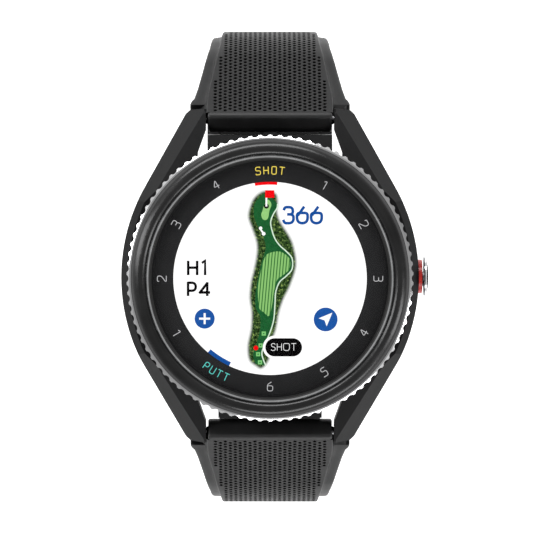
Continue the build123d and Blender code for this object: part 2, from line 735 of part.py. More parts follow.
def across(y, z, radius, low, high, inner=0.0):
    """A round bar or sleeve along X about (y, z), from low to high."""
    with BuildPart() as rod:
        with BuildSketch(Plane(origin=(low, y, z), x_dir=(0, 1, 0), z_dir=(1, 0, 0))):
            Circle(radius)
            if inner:
                Circle(inner, mode=Mode.SUBTRACT)
        extrude(amount=high - low)
    return rod.part


# === spring bars with quick release =======================================================
pin_bore, plunger_radius, spring_radius, spring_wire, spring_pitch = 0.5, 0.44, 0.32, 0.1, 1.5
plunger_reach = 0.9  # of the sliding pin beyond the middle of its lever
spring_seat, spring_gap = 0.15, 0.35  # free space at the two ends of the bar's spring
tip_depth = 3.0  # how far the fixed tip reaches into the tube
for side, end in ((1, "upper"), (-1, "lower")):
    y = side * bar_y
    with BuildPart() as bar_tube:
        add(across(y, bar_z, bar_radius, -bar_half, bar_half, pin_bore))
        with BuildSketch(Plane.XY.offset(bar_z)):
            with Locations((lever_x + lever_travel / 2, y)):
                Rectangle(2 * lever_half + lever_travel + lever_play, lever_width + lever_play)
        extrude(amount=-2 * bar_radius, mode=Mode.SUBTRACT)
    save(bar_tube.part, f"{end}_bar_tube")
    with BuildPart() as bar_tip:
        add(across(y, bar_z, pin_bore, bar_half - tip_depth, bar_half))
        add(across(y, bar_z, tip_radius, bar_half, tip_reach))
    save(bar_tip.part, f"{end}_bar_tip")
    with BuildPart() as bar_spring:
        with BuildLine():
            coil_start = lever_x + plunger_reach + spring_seat
            coil = Helix(
                pitch=spring_pitch, height=bar_half - tip_depth - coil_start - spring_gap, radius=spring_radius,
                center=(coil_start, y, bar_z), direction=(1, 0, 0),
            )
        with BuildSketch(Plane(origin=coil @ 0, z_dir=coil % 0)):
            Circle(spring_wire)
        sweep()
    save(bar_spring.part, f"{end}_bar_spring")
    with BuildPart() as release_pin:
        add(across(y, bar_z, plunger_radius, -bar_half, lever_x + plunger_reach))
        add(across(y, bar_z, tip_radius, -tip_reach, -bar_half))
        with BuildSketch(Plane.XY.offset(bar_z)):
            with Locations((lever_x, y)):
                RectangleRounded(2 * lever_half, lever_width, 0.2)
        extrude(amount=-lever_reach)
    save(release_pin.part, f"{end}_release_lever")

# === buckle ===============================================================================
with BuildPart() as buckle_frame:
    with BuildSketch(Plane.YZ.offset(-arm_outer)):
        with Locations((pin_centre.X, pin_centre.Y)):
            Circle(eye_radius)
        with Locations((front_y, front_z)):
            Circle(front_radius)
        make_hull()
    extrude(amount=2 * arm_outer)
    with BuildSketch(Plane.XY.offset(floor_z - 1)):
        with Locations((0, front_y + front_radius + 10)):
            Rectangle(2 * arm_inner, 20)
    extrude(amount=10, mode=Mode.SUBTRACT)
    with BuildSketch(Plane.YZ):
        with Locations((pin_centre.X, pin_centre.Y)):
            Circle(pin_radius)
    extrude(amount=arm_outer - pin_inset, both=True, mode=Mode.SUBTRACT)
    # rest for the tang in the outer side of the front bar
    with BuildSketch(Plane.YZ):
        with Locations((front_y - 0.5, front_z - front_radius)):
            Rectangle(2 * front_radius + 2, 2.6)
    extrude(amount=tang_half + 0.25, both=True, mode=Mode.SUBTRACT)
save(buckle_frame.part, "buckle_frame")

pin_end = arm_outer - pin_inset
save(across(pin_centre.X, pin_centre.Y, pin_radius, -pin_end, pin_end), "buckle_pin")

with BuildPart() as buckle_tang:
    with BuildSketch(Plane.YZ):
        with BuildLine():
            Polyline(
                (pin_centre.X - 0.5, pin_centre.Y + 1.3),
                (15.5, tang_low + tang_thick + 0.2),
                (4.2, tang_low + tang_thick),
                (3.9, tang_low + 0.3),
                (4.4, tang_low),
                (16.2, tang_low),
                (pin_centre.X + 0.3, pin_centre.Y - 1.4),
                close=True,
            )
        make_face()
        with Locations((pin_centre.X, pin_centre.Y)):
            Circle(tang_eye)
    extrude(amount=tang_half, both=True)
    with BuildSketch(Plane.YZ):
        with Locations((pin_centre.X, pin_centre.Y)):
            Circle(pin_radius + pin_clearance)
    extrude(amount=tang_half, both=True, mode=Mode.SUBTRACT)
save(buckle_tang.part, "buckle_tang")
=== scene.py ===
"""Looks of the golf GPS watch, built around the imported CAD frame. Lengths in millimetres * MM."""

import math

import bmesh
import bpy
from mathutils import Matrix, Vector


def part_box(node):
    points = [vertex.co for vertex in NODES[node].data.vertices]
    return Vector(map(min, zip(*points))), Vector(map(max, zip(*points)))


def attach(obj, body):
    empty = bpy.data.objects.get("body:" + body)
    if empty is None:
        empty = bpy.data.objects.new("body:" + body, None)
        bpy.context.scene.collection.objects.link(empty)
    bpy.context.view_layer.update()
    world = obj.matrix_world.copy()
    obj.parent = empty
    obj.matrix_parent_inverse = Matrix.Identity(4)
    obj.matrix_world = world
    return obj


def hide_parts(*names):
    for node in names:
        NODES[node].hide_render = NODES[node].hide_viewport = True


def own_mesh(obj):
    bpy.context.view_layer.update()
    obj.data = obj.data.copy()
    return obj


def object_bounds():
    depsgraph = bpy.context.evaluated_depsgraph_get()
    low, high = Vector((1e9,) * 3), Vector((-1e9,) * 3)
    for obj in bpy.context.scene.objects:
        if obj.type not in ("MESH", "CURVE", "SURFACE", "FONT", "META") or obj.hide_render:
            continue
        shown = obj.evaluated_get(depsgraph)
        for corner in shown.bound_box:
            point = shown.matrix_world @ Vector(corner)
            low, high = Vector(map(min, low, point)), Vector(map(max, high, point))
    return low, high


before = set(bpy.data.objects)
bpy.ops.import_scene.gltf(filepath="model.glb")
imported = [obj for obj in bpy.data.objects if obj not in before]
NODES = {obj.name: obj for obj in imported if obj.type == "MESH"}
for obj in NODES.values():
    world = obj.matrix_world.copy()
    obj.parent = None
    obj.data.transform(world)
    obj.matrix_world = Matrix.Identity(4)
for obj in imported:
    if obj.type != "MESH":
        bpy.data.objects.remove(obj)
CAD_BOX = [list(corner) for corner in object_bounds()]
MM = 0.001

# --- places read from the frame ---------------------------------------------------------
FLOOR_Z = CAD_BOX[0][2]
RING_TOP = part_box("dial_ring")[1][2]
DISPLAY_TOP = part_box("display_panel")[1][2]


# === materials ==========================================================================
def material(name, **values):
    """A Principled material with plain values set on the shader's own sockets."""
    mat = bpy.data.materials.new(name)
    mat.use_nodes = True
    shader = mat.node_tree.nodes["Principled BSDF"]
    for key, value in values.items():
        label = key.replace("_", " ")
        socket = shader.inputs[label]
        socket.default_value = (*value, 1) if isinstance(value, tuple) else value
    return mat


def node(mat, kind, **values):
    made = mat.node_tree.nodes.new(kind)
    for key, value in values.items():
        if key in made.inputs:
            made.inputs[key].default_value = value
        else:
            setattr(made, key, value)
    return made


def link(mat, source, target):
    mat.node_tree.links.new(source, target)


def shader_of(mat):
    return mat.node_tree.nodes["Principled BSDF"]


def bare(name):
    """A material whose tree holds nothing but its output."""
    mat = bpy.data.materials.new(name)
    mat.use_nodes = True
    mat.node_tree.nodes.remove(shader_of(mat))
    return mat


def surface(mat, shader):
    link(mat, shader, mat.node_tree.nodes["Material Output"].inputs["Surface"])


def coords(mat):
    """Object coordinates in metres."""
    return node(mat, "ShaderNodeTexCoord").outputs["Object"]


def from_axis(mat):
    """Distance from the Z axis in metres."""
    flat = node(mat, "ShaderNodeVectorMath", operation="MULTIPLY")
    flat.inputs[1].default_value = (1, 1, 0)
    link(mat, coords(mat), flat.inputs[0])
    length = node(mat, "ShaderNodeVectorMath", operation="LENGTH")
    link(mat, flat.outputs["Vector"], length.inputs[0])
    return length.outputs["Value"]


def spots(mat, where, size, detail, **values):
    """Noise with spots of a size in millimetres, as a 0-1 factor."""
    cloud = node(mat, "ShaderNodeTexNoise", Scale=1 / (size * MM), Detail=detail, **values)
    link(mat, where, cloud.inputs["Vector"])
    return cloud.outputs["Fac"]


def calculate(owner, operation, first, second):
    """Two numbers or sockets through a Math node."""
    made = node(owner, "ShaderNodeMath", operation=operation)
    for target, value in zip(made.inputs, (first, second)):
        if isinstance(value, float):
            target.default_value = value
        else:
            link(owner, value, target)
    return made.outputs["Value"]


def blend(mat, share, first, second):
    """Mix two shaders by a 0-1 share of the second."""
    mix = node(mat, "ShaderNodeMixShader")
    for source, target in zip((share, first, second), mix.inputs):
        link(mat, source, target)
    return mix.outputs["Shader"]


def relief(mat, height, strength, distance):
    """Surface relief from a 0-1 height that stands for a distance in millimetres."""
    lift = node(mat, "ShaderNodeBump", Strength=strength, Distance=distance * MM)
    link(mat, height, lift.inputs["Height"])
    link(mat, lift.outputs["Normal"], shader_of(mat).inputs["Normal"])


def ramp(mat, source, low, high, start=0.0, end=1.0):
    """Map a 0-1 factor onto a range of colours or values."""
    made = node(mat, "ShaderNodeValToRGB")
    made.color_ramp.elements[0].position = start
    made.color_ramp.elements[1].position = end
    for element, value in zip(made.color_ramp.elements, (low, high)):
        element.color = (*value, 1) if isinstance(value, tuple) else (value, value, value, 1)
    link(mat, source, made.inputs["Fac"])
    return made.outputs["Color"]


def grain(mat, size, colours, roughness, bump, bump_size):
    """Colour variation, uneven roughness and a fine surface grain."""
    shader = shader_of(mat)
    where = coords(mat)
    broad = spots(mat, where, size, 4.0)
    link(mat, ramp(mat, broad, *colours, 0.3, 0.7), shader.inputs["Base Color"])
    link(mat, ramp(mat, broad, *roughness, 0.3, 0.7), shader.inputs["Roughness"])
    relief(mat, spots(mat, where, bump_size, 2.0), bump, 0.02)
    return mat


def emitter(name, colour, strength=1.0, mottle=0.0, size=0.6):
    """A glowing colour: a lit colour of the display, or the ring's print glowing as painted light; with a
    faint mottle so that it is not one flat value.
    """
    mat = bare(name)
    glow = node(mat, "ShaderNodeEmission", Color=(*colour, 1), Strength=strength)
    if mottle:
        low = tuple(c * (1 - mottle) for c in colour)
        high = tuple(min(1.0, c * (1 + mottle)) for c in colour)
        link(mat, ramp(mat, spots(mat, coords(mat), size, 3.0), low, high, 0.35, 0.65), glow.inputs["Color"])
    surface(mat, glow.outputs["Emission"])
    return mat


def glow_of(mat):
    return next(n for n in mat.node_tree.nodes if n.type == "EMISSION")


def clear_glass(name, gloss, ink_from=None):
    """Coated glass: clear, with a weak mirror image on its front faces, and black ink from a radius on."""
    mat = bare(name)
    mirror = node(mat, "ShaderNodeBsdfGlossy", Color=(1, 1, 1, 1))
    smudge = spots(mat, coords(mat), 6, 3.0)
    link(mat, ramp(mat, smudge, 0.02, 0.05, 0.4, 0.7), mirror.inputs["Roughness"])
    under = node(mat, "ShaderNodeBsdfTransparent").outputs["BSDF"]
    if ink_from:
        ink = node(mat, "ShaderNodeBsdfDiffuse", Color=(0.013, 0.013, 0.0135, 1))
        beyond = calculate(mat, "GREATER_THAN", from_axis(mat), ink_from * MM)
        under = blend(mat, beyond, under, ink.outputs["BSDF"])
    angle = node(mat, "ShaderNodeFresnel", IOR=gloss).outputs["Fac"]
    behind = node(mat, "ShaderNodeNewGeometry").outputs["Backfacing"]
    share = calculate(mat, "MULTIPLY", angle, calculate(mat, "SUBTRACT", 1.0, behind))
    surface(mat, blend(mat, share, under, mirror.outputs["BSDF"]))
    return mat


def turned(mat, scale, bump):
    """Concentric turning marks about the Z axis, in place of the grain's relief."""
    rings = node(mat, "ShaderNodeTexWave", Scale=scale, Distortion=0.4, Detail=2.0,
                 wave_type="RINGS", rings_direction="Z")
    link(mat, coords(mat), rings.inputs["Vector"])
    relief(mat, rings.outputs["Fac"], bump, 0.01)
    return mat


def lacquer(name, base, mirror, size, roughness):
    """Polished black with a mirror image of even strength, its gloss wandering a little."""
    mat = bare(name)
    body = node(mat, "ShaderNodeBsdfDiffuse")
    gloss = node(mat, "ShaderNodeBsdfGlossy")
    drift = spots(mat, coords(mat), size, 4.0)
    for values, socket in (
        (base, body.inputs["Color"]), (mirror, gloss.inputs["Color"]), (roughness, gloss.inputs["Roughness"])
    ):
        link(mat, ramp(mat, drift, *values, 0.3, 0.7), socket)
    both = node(mat, "ShaderNodeAddShader")
    link(mat, body.outputs["BSDF"], both.inputs[0])
    link(mat, gloss.outputs["BSDF"], both.inputs[1])
    surface(mat, both.outputs["Shader"])
    return mat


def banded(mat, outer, limit, soft, axis=None, inner=None):
    """Blend to the outer colour beyond a limit, or to the inner one before it, without metal there.

    The limit is a radius about Z, or a distance along an axis, in millimetres."""
    shader = shader_of(mat)
    if axis:
        split = node(mat, "ShaderNodeSeparateXYZ")
        link(mat, coords(mat), split.inputs["Vector"])
        measure = split.outputs[axis]
    else:
        measure = from_axis(mat)
    span = node(mat, "ShaderNodeMapRange")
    span.inputs["From Min"].default_value = (limit - soft) * MM
    span.inputs["From Max"].default_value = (limit + soft) * MM
    link(mat, measure, span.inputs["Value"])
    metal = calculate(mat, "MULTIPLY" if inner else "SUBTRACT", 1.0, span.outputs["Result"])
    if shader.inputs["Metallic"].links:
        metal = calculate(mat, "MULTIPLY", shader.inputs["Metallic"].links[0].from_socket, metal)
    link(mat, metal, shader.inputs["Metallic"])
    mix = node(mat, "ShaderNodeMix", data_type="RGBA")
    link(mat, span.outputs["Result"], mix.inputs[0])
    first, second = mix.inputs[6], mix.inputs[7]
    flat, kept = (first, second) if inner else (second, first)
    flat.default_value = (*(inner or outer), 1)
    link(mat, shader.inputs["Base Color"].links[0].from_socket, kept)
    link(mat, mix.outputs[2], shader.inputs["Base Color"])
    return mat


CASE = grain(
    material("case_satin_black", Specular_IOR_Level=0.12),
    4.0, ((0.0045, 0.0045, 0.005), (0.0075, 0.0075, 0.008)), (0.32, 0.42), 0.25, 0.12,
)
BEZEL = lacquer(
    "bezel_polished_black", ((0.006, 0.006, 0.006), (0.009, 0.009, 0.009)),
    ((0.044, 0.044, 0.0445), (0.054, 0.054, 0.0545)), 5.0, (0.18, 0.26),
)
CHROME = grain(
    material("coin_chrome", Metallic=1.0),
    2.0, ((0.9, 0.9, 0.91), (0.96, 0.96, 0.97)), (0.08, 0.16), 0.05, 0.1,
)
TRIM = banded(
    turned(
        grain(
            material("trim_silver", Metallic=1.0),
            1.5, ((0.76, 0.77, 0.78), (0.9, 0.91, 0.92)), (0.18, 0.3), 0.05, 0.1,
        ),
        900.0, 0.3,
    ),
    None, 19.36, 0.03, inner=(0.03, 0.03, 0.03),
)
# Chrome crown cap with painted shade: dark beyond x = 25.06 mm as the shaded rim of the dome, and dark before
# x = 24.76 mm as painted shadow in the groove at its root.
SHADED_CAP_CHROME = banded(
    banded(
        grain(
            material("crown_chrome", Metallic=1.0, Specular_IOR_Level=0.0),
            1.0, ((0.7, 0.7, 0.72), (0.82, 0.82, 0.84)), (0.1, 0.2), 0.08, 0.08,
        ),
        (0.012, 0.012, 0.013), 25.06, 0.03, "X",
    ),
    None, 24.76, 0.03, "X", inner=(0.008, 0.008, 0.008),
)
RED = grain(
    material("accent_red", Specular_IOR_Level=0.5),
    0.8, ((0.5, 0.015, 0.012), (0.62, 0.03, 0.02)), (0.25, 0.35), 0.05, 0.08,
)
SILICONE = grain(
    material("strap_silicone", Specular_IOR_Level=0.2, Sheen_Weight=0.03, Sheen_Roughness=0.5),
    3.0, ((0.004, 0.004, 0.0043), (0.0065, 0.0065, 0.007)), (0.42, 0.52), 0.35, 0.09,
)
# Knuckle silicone: glossier than the strap, and its colour lighter than the strap's as a painted highlight.
KNUCKLE = grain(
    material("strap_silicone_smooth_painted_highlight", Specular_IOR_Level=0.6),
    3.0, ((0.009, 0.009, 0.0093), (0.012, 0.012, 0.0125)), (0.42, 0.5), 0.2, 0.09,
)
# Dark colour of the dimples' insides: painted shade, as the pits are blind holes in the same silicone.
PIT = material("strap_pit_painted_shade", Base_Color=(0.0015, 0.0015, 0.0015), Roughness=0.9, Specular_IOR_Level=0.0)
DIAL = grain(
    material("dial_black", Specular_IOR_Level=0.2),
    2.0, ((0.013, 0.013, 0.014), (0.016, 0.016, 0.017)), (0.4, 0.5), 0.05, 0.1,
)
RUBBER = grain(
    material("seal_rubber"), 1.0, ((0.008, 0.008, 0.008), (0.014, 0.014, 0.014)), (0.6, 0.75), 0.2, 0.1
)
BLACK_PLASTIC = grain(
    material("moulded_black"), 2.0, ((0.012, 0.012, 0.012), (0.022, 0.022, 0.022)), (0.45, 0.6), 0.2, 0.1
)
BACK_STEEL = turned(
    grain(
        material("back_steel", Metallic=1.0),
        6.0, ((0.22, 0.225, 0.23), (0.3, 0.305, 0.31)), (0.28, 0.4), 0.1, 0.2,
    ),
    600.0, 0.4,
)
STEEL = grain(
    material("small_steel", Metallic=1.0),
    1.0, ((0.4, 0.4, 0.42), (0.55, 0.55, 0.57)), (0.22, 0.35), 0.1, 0.08,
)
BLACK_STEEL = grain(
    material("buckle_black_steel", Metallic=0.7),
    3.0, ((0.03, 0.03, 0.032), (0.05, 0.05, 0.053)), (0.26, 0.38), 0.12, 0.12,
)
GOLD = grain(
    material("contact_gold", Metallic=1.0),
    0.5, ((0.75, 0.52, 0.2), (0.85, 0.62, 0.28)), (0.15, 0.3), 0.1, 0.05,
)
BOARD = grain(material("board_green"), 1.5, ((0.01, 0.09, 0.03), (0.02, 0.16, 0.06)), (0.3, 0.45), 0.2, 0.2)
CERAMIC = grain(material("antenna"), 1.5, ((0.5, 0.46, 0.38), (0.6, 0.56, 0.47)), (0.4, 0.5), 0.1, 0.2)
FOIL = grain(
    material("battery_foil", Metallic=0.6),
    3.0, ((0.4, 0.42, 0.45), (0.52, 0.54, 0.57)), (0.3, 0.45), 0.4, 0.8,
)
LEAD = grain(material("lead_red"), 1.0, ((0.4, 0.02, 0.015), (0.5, 0.03, 0.02)), (0.4, 0.5), 0.1, 0.1)
FLEX = grain(material("flex_amber"), 1.5, ((0.35, 0.16, 0.02), (0.5, 0.25, 0.04)), (0.3, 0.4), 0.1, 0.2)
GLASS = clear_glass("crystal_glass", 1.18, 18.6)
SENSOR = clear_glass("sensor_glass", 1.05)
SCREEN_WHITE = emitter("screen_white", (1.0, 1.0, 1.0), 1.15)

LOOKS = {
    CASE: ("mid_case",),
    BEZEL: ("bezel_top",),
    CHROME: ("coin_edge_ring",),
    TRIM: ("crystal_trim_ring",),
    SHADED_CAP_CHROME: ("crown_cap",),
    RED: ("crown_accent_ring",),
    GLASS: ("crystal",),
    SENSOR: ("touch_sensor",),
    DIAL: ("dial_ring",),
    SCREEN_WHITE: ("display_panel",),
    RUBBER: ("back_gasket", "crystal_gasket", "crown_seal"),
    BLACK_PLASTIC: (
        "display_holder", "inner_frame", "contact_insulator", "bezel_slide_ring", "board_chips",
        "crown_switch", "crown_tube",
    ),
    BACK_STEEL: ("back_cover",),
    STEEL: (
        "back_screws", "chassis_screws", "bezel_click_spring", "bezel_retaining_wire",
        "crown_spring", "crown_clip", "crown_stem", "shield_can", "gps_module", "vibration_motor",
        *(f"{end}_{part}" for end in ("upper", "lower")
          for part in ("bar_tube", "bar_tip", "bar_spring", "release_lever")),
    ),
    GOLD: ("charge_contacts",),
    BOARD: ("main_board",),
    CERAMIC: ("gps_antenna",),
    FOIL: ("battery",),
    LEAD: ("battery_lead",),
    FLEX: ("display_flex", "switch_flex"),
    BLACK_STEEL: ("buckle_frame", "buckle_pin", "buckle_tang"),
    SILICONE: ("fixed_keeper", "free_keeper", "strap_short", "strap_long"),
}
for look, names in LOOKS.items():
    for name in names:
        slots = NODES[name].data.materials
        if not slots:
            slots.append(look)
        for index in range(len(slots)):
            slots[index] = look


def soften(name, width):
    """Round a CAD node's sharp edges a little, as a bevel on top of its own mesh."""
    obj = NODES[name]
    bevel = obj.modifiers.new("edge", "BEVEL")
    bevel.width = width * MM
    bevel.segments = 3
    bevel.limit_method = "ANGLE"
    bevel.angle_limit = math.radians(35)
    bevel.harden_normals = True


# === mesh helpers =======================================================================
def placed(name, data):
    """An object for a mesh, light or camera, in the scene."""
    obj = bpy.data.objects.new(name, data)
    bpy.context.scene.collection.objects.link(obj)
    return obj


def piece(name, vertices, faces, mat, body, smooth=None):
    """A mesh piece that rides on a body."""
    mesh = bpy.data.meshes.new(name)
    mesh.from_pydata(vertices, [], faces)
    mesh.validate()
    obj = placed(name, mesh)
    for each in mat if isinstance(mat, (list, tuple)) else [mat]:
        mesh.materials.append(each)
    shape = bmesh.new()
    shape.from_mesh(mesh)
    bmesh.ops.recalc_face_normals(shape, faces=shape.faces)
    shape.to_mesh(mesh)
    shape.free()
    if smooth is not None:
        for polygon in mesh.polygons:
            polygon.use_smooth = True
        mesh.set_sharp_from_angle(angle=math.radians(smooth))
    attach(obj, body)
    return obj


# === strap ==============================================================================
BAR = Vector((25.3, 2.8))
KNUCKLE_R, THICK, STEP = 2.2, 3.0, 0.9
SLOPE = math.radians(57)
RUN, SHOULDER_R, DROP, FOOT_R, TAIL = 13.9, 26.5, 23.1, 24.0, 15.2
SHORT_TURN = math.radians(74)
WING_ROOT_R = 2.35
HEAD_RUN, HEAD_R = 1.6, 0.7  # blunt head of the strap above the bar
SKIN_START = 0.1 - HEAD_RUN
COLUMN, ROW, COLUMNS = 0.80, 0.927, 11  # pitch of the dimples across and along, columns on each side
DIMPLE_R, DIMPLE_DEPTH = 0.225, 0.35
DIMPLE_LIP, DIMPLE_WALL = 0.04, 0.1  # the wall's start beyond the radius, and its width
PIT_SHADE_DEPTH = 0.01  # points deeper than this take the dark colour, painted shade in the dimples
PHASE = -0.5  # of the lattice along the strap
PATTERN_START, PATTERN_END = -1.1, 42.0
FALL = Vector((math.cos(SLOPE), -math.sin(SLOPE)))
OUT = Vector((math.sin(SLOPE), math.cos(SLOPE)))
SHOULDER_LEN = SHOULDER_R * (math.pi / 2 - SLOPE)
FOOT_START = RUN + SHOULDER_LEN + DROP
COLS = 88  # steps from the middle of the outer face to its edge
INNER_POINTS = 8  # section points on the inner face, after the middle of the side
FINE, AT_END, NEAR_END, COARSE = 0.11, 0.12, 0.35, 0.8  # steps along the strap
STEP_RUN, EDGE_R = 0.55, 0.45  # width of the slope beside the outer face, rounding of the sides
TIP_REACH, TIP_LEAST = 6.0, 0.06  # length of the long half's rounded tip, share of width at its end
FADE_START, FADE_RUN = 5.0, 6.0  # where the raised face sinks towards the tip
LIP_RUN, LIP_DEPTH = 0.5, 0.35  # rounding of the tip's end
WING_FROM, WING_RUN = 10.05, 4.0  # the wing's root: beyond this x, over this length


def strap_point(s):
    """Outer face point and outward normal in (y, z) at a distance s down the strap."""
    start = BAR + OUT * KNUCKLE_R
    bend_start = start + FALL * RUN
    bend_centre = bend_start - OUT * SHOULDER_R
    if s <= RUN:
        return start + FALL * s, OUT
    if s <= RUN + SHOULDER_LEN:
        turn = math.pi / 2 - SLOPE - (s - RUN) / SHOULDER_R
        normal = Vector((math.cos(turn), math.sin(turn)))
        return bend_centre + normal * SHOULDER_R, normal
    drop_y = bend_centre.x + SHOULDER_R
    if s <= FOOT_START:
        return Vector((drop_y, bend_centre.y - (s - RUN - SHOULDER_LEN))), Vector((1, 0))
    centre = Vector((drop_y - FOOT_R, bend_centre.y - DROP))
    turn = (s - FOOT_START) / FOOT_R
    if turn <= math.pi / 2:
        normal = Vector((math.cos(turn), -math.sin(turn)))
        return centre + normal * FOOT_R, normal
    flat = s - FOOT_START - FOOT_R * math.pi / 2
    return centre + Vector((-flat, -FOOT_R)), Vector((0, -1))


def value_at(points, s):
    """Value at s on straight lines between (s, value) points."""
    if s <= points[0][0]:
        return points[0][1]
    for (s0, v0), (s1, v1) in zip(points, points[1:]):
        if s <= s1:
            t = (s - s0) / (s1 - s0)
            return v0 + (v1 - v0) * t
    return points[-1][1]


WING = [(0, 12.85), (2, 12.65), (6.6, 11.75), (12, 10.95), (16, 10.4), (20, 9.9), (28, 9.45), (51, 8.8)]
CENTRE = [(0, 9.95), (4, 9.85), (7.7, 9.35), (15, 8.45), (20, 7.9), (27, 7.65)]


def dimple(x, s):
    """Depth of the dimple pattern at (x, s): a staggered lattice of round pits."""
    column = round(x / COLUMN)
    deepest = 0.0
    for c in (column - 1, column, column + 1):
        if abs(c) > COLUMNS:
            continue
        shift = 0.5 * (c % 2)
        row = round((s - PHASE) / ROW - shift)
        centre_s = (row + shift) * ROW + PHASE
        across, along = x - c * COLUMN, s - centre_s
        if not PATTERN_START < centre_s < PATTERN_END:
            continue
        if abs(c) * COLUMN > value_at(CENTRE, centre_s) - 0.5:
            continue
        distance = math.hypot(across, along)
        if distance < DIMPLE_R + DIMPLE_LIP:
            t = min(1.0, max(0.0, (DIMPLE_R + DIMPLE_LIP - distance) / DIMPLE_WALL))
            deepest = max(deepest, DIMPLE_DEPTH * t * t * (3 - 2 * t))
    return deepest


def section(s, end, tail):
    """Half cross-section at s: (x, depth) from the middle of the outer face to the inner face."""
    centre, wing = value_at(CENTRE, s), value_at(WING, s)
    low, high, squeeze = 0.0, THICK, 1.0
    left = end - s
    if tail:
        if left < TIP_REACH:
            squeeze = math.sqrt(max(0.0, 1 - ((TIP_REACH - left) / TIP_REACH) ** 2))
            squeeze = max(squeeze, TIP_LEAST)
        fade = min(1.0, max(0.0, (left - FADE_START) / FADE_RUN))
        low = STEP * 0.75 * (1 - fade)
        if left < LIP_RUN:
            lip = LIP_DEPTH * (1 - left / LIP_RUN)
            low, high = low + lip, THICK - lip
    elif left < THICK / 2:
        half = math.sqrt(max(0.0, (THICK / 2) ** 2 - (THICK / 2 - left) ** 2))
        low, high = THICK / 2 - half, THICK / 2 + half
    step = max(STEP, low)
    high = max(high, step + 0.02)
    points = []
    for i in range(COLS + 1):
        x = centre * i / COLS
        points.append((x * squeeze, low))
    for dx, share in ((0.1, 0.06), (0.24, 0.45), (0.38, 0.85), (STEP_RUN, 1.0)):
        points.append(((centre + dx) * squeeze, low + (step - low) * share))
    inner = wing - (centre + STEP_RUN)
    for share in (0.35, 0.7):
        points.append(((centre + STEP_RUN + max(inner - 0.5, 0.05) * share) * squeeze, step))
    mid = (step + high) / 2
    r = min(EDGE_R, (high - step) / 2.2)
    near, far = 0.06 * r / EDGE_R, 0.2 * r / EDGE_R
    for dx, depth in (
        (-0.5, step), (-0.2, step + near), (-0.05, step + far), (0, step + r),
        (0, mid), (0, high - r), (-0.05, high - far), (-0.2, high - near), (-0.5, high),
    ):
        points.append(((wing + dx) * squeeze, depth))
    for share in (0.75, 0.5, 0.25, 0.0):
        points.append(((wing - 0.5) * share * squeeze, high))
    return points


def strap_half(name, end, tail, side):
    """One strap half as a single closed skin with real dimples."""
    stations = [SKIN_START]
    while stations[-1] < end - 1e-6:
        s = stations[-1]
        left = end - s
        if s < PATTERN_END + 0.4:
            step = FINE
        elif left < 0.6 or (not tail and left < 1.6):
            step = AT_END
        elif left < 7:
            step = NEAR_END
        else:
            step = COARSE
        stations.append(min(end, s + step))
    vertices, rows, deep = [], [], set()
    for s in stations:
        here, normal = strap_point(s)
        along = Vector((normal.y, -normal.x))
        half = section(s, end, tail)
        loop = [(x, d) for x, d in half] + [(-x, d) for x, d in reversed(half[1:-1])]
        row = []
        for x, depth in loop:
            pit = 0.0
            if depth == half[0][1] and abs(x) <= value_at(CENTRE, s) + 0.01:
                pit = dimple(x, s)
            if pit > PIT_SHADE_DEPTH:
                deep.add(len(vertices))
            point = here - normal * (depth + pit)
            if s < WING_RUN and abs(x) > WING_FROM:
                rise = KNUCKLE_R - depth
                root = math.sqrt(max(0.0, WING_ROOT_R ** 2 - rise ** 2))
                moved = root + (WING_RUN - root) * (s - SKIN_START) / (WING_RUN - SKIN_START)
                point = point + along * (moved - s)
            row.append(len(vertices))
            vertices.append((x * MM, side * point.x * MM, point.y * MM))
        rows.append(row)
    faces = []
    for a, b in zip(rows, rows[1:]):
        count = len(a)
        for i in range(count):
            j = (i + 1) % count
            faces.append((a[i], a[j], b[j], b[i]))
    # end caps, zipped between the outer and inner faces
    turn = len(half) - 1 - INNER_POINTS
    for row in (rows[0], rows[-1]):
        outer = [row[k % len(row)] for k in range(-turn, turn + 1)]
        inner = [row[k] for k in range(turn, len(row) - turn + 1)][::-1]
        i = j = 0
        while i < len(outer) - 1 or j < len(inner) - 1:
            go_outer = j == len(inner) - 1 or (
                i < len(outer) - 1 and vertices[outer[i + 1]][0] <= vertices[inner[j + 1]][0]
            )
            third = outer[i + 1] if go_outer else inner[j + 1]
            if len({outer[i], inner[j], third}) == 3:
                faces.append((outer[i], inner[j], third))
            i, j = (i + 1, j) if go_outer else (i, j + 1)
    obj = piece(name, vertices, faces, [SILICONE, PIT], BODY[side], 40)
    for polygon in obj.data.polygons:  # faces inside a dimple take the dark second material, painted shade in the pit
        if sum(v in deep for v in polygon.vertices) > 1:
            polygon.material_index = 1
    return obj


BODY = {1: "upper_strap", -1: "lower_strap"}
SHORT_END = FOOT_START + SHORT_TURN * FOOT_R + THICK / 2
LONG_END = FOOT_START + FOOT_R * math.pi / 2 + TAIL
SHORT = strap_half("strap_short_skin", SHORT_END, False, 1)
LONG = strap_half("strap_long_skin", LONG_END, True, -1)


def carve(obj, cutters):
    """Cut the cutters out of a piece and keep the result as its mesh."""
    for cutter in cutters:
        cut = obj.modifiers.new("cut", "BOOLEAN")
        cut.operation = "DIFFERENCE"
        cut.solver = "MANIFOLD"
        cut.object = cutter
    bpy.context.view_layer.update()
    result = bpy.data.meshes.new_from_object(obj.evaluated_get(bpy.context.evaluated_depsgraph_get()))
    obj.modifiers.clear()
    old, obj.data = obj.data, result
    bpy.data.meshes.remove(old)
    for cutter in cutters:
        bpy.data.objects.remove(cutter)


def cutter(shape):
    """A scratch object made of a finished shape, for carve."""
    mesh = bpy.data.meshes.new("cutter")
    shape.to_mesh(mesh)
    shape.free()
    return placed("cutter", mesh)


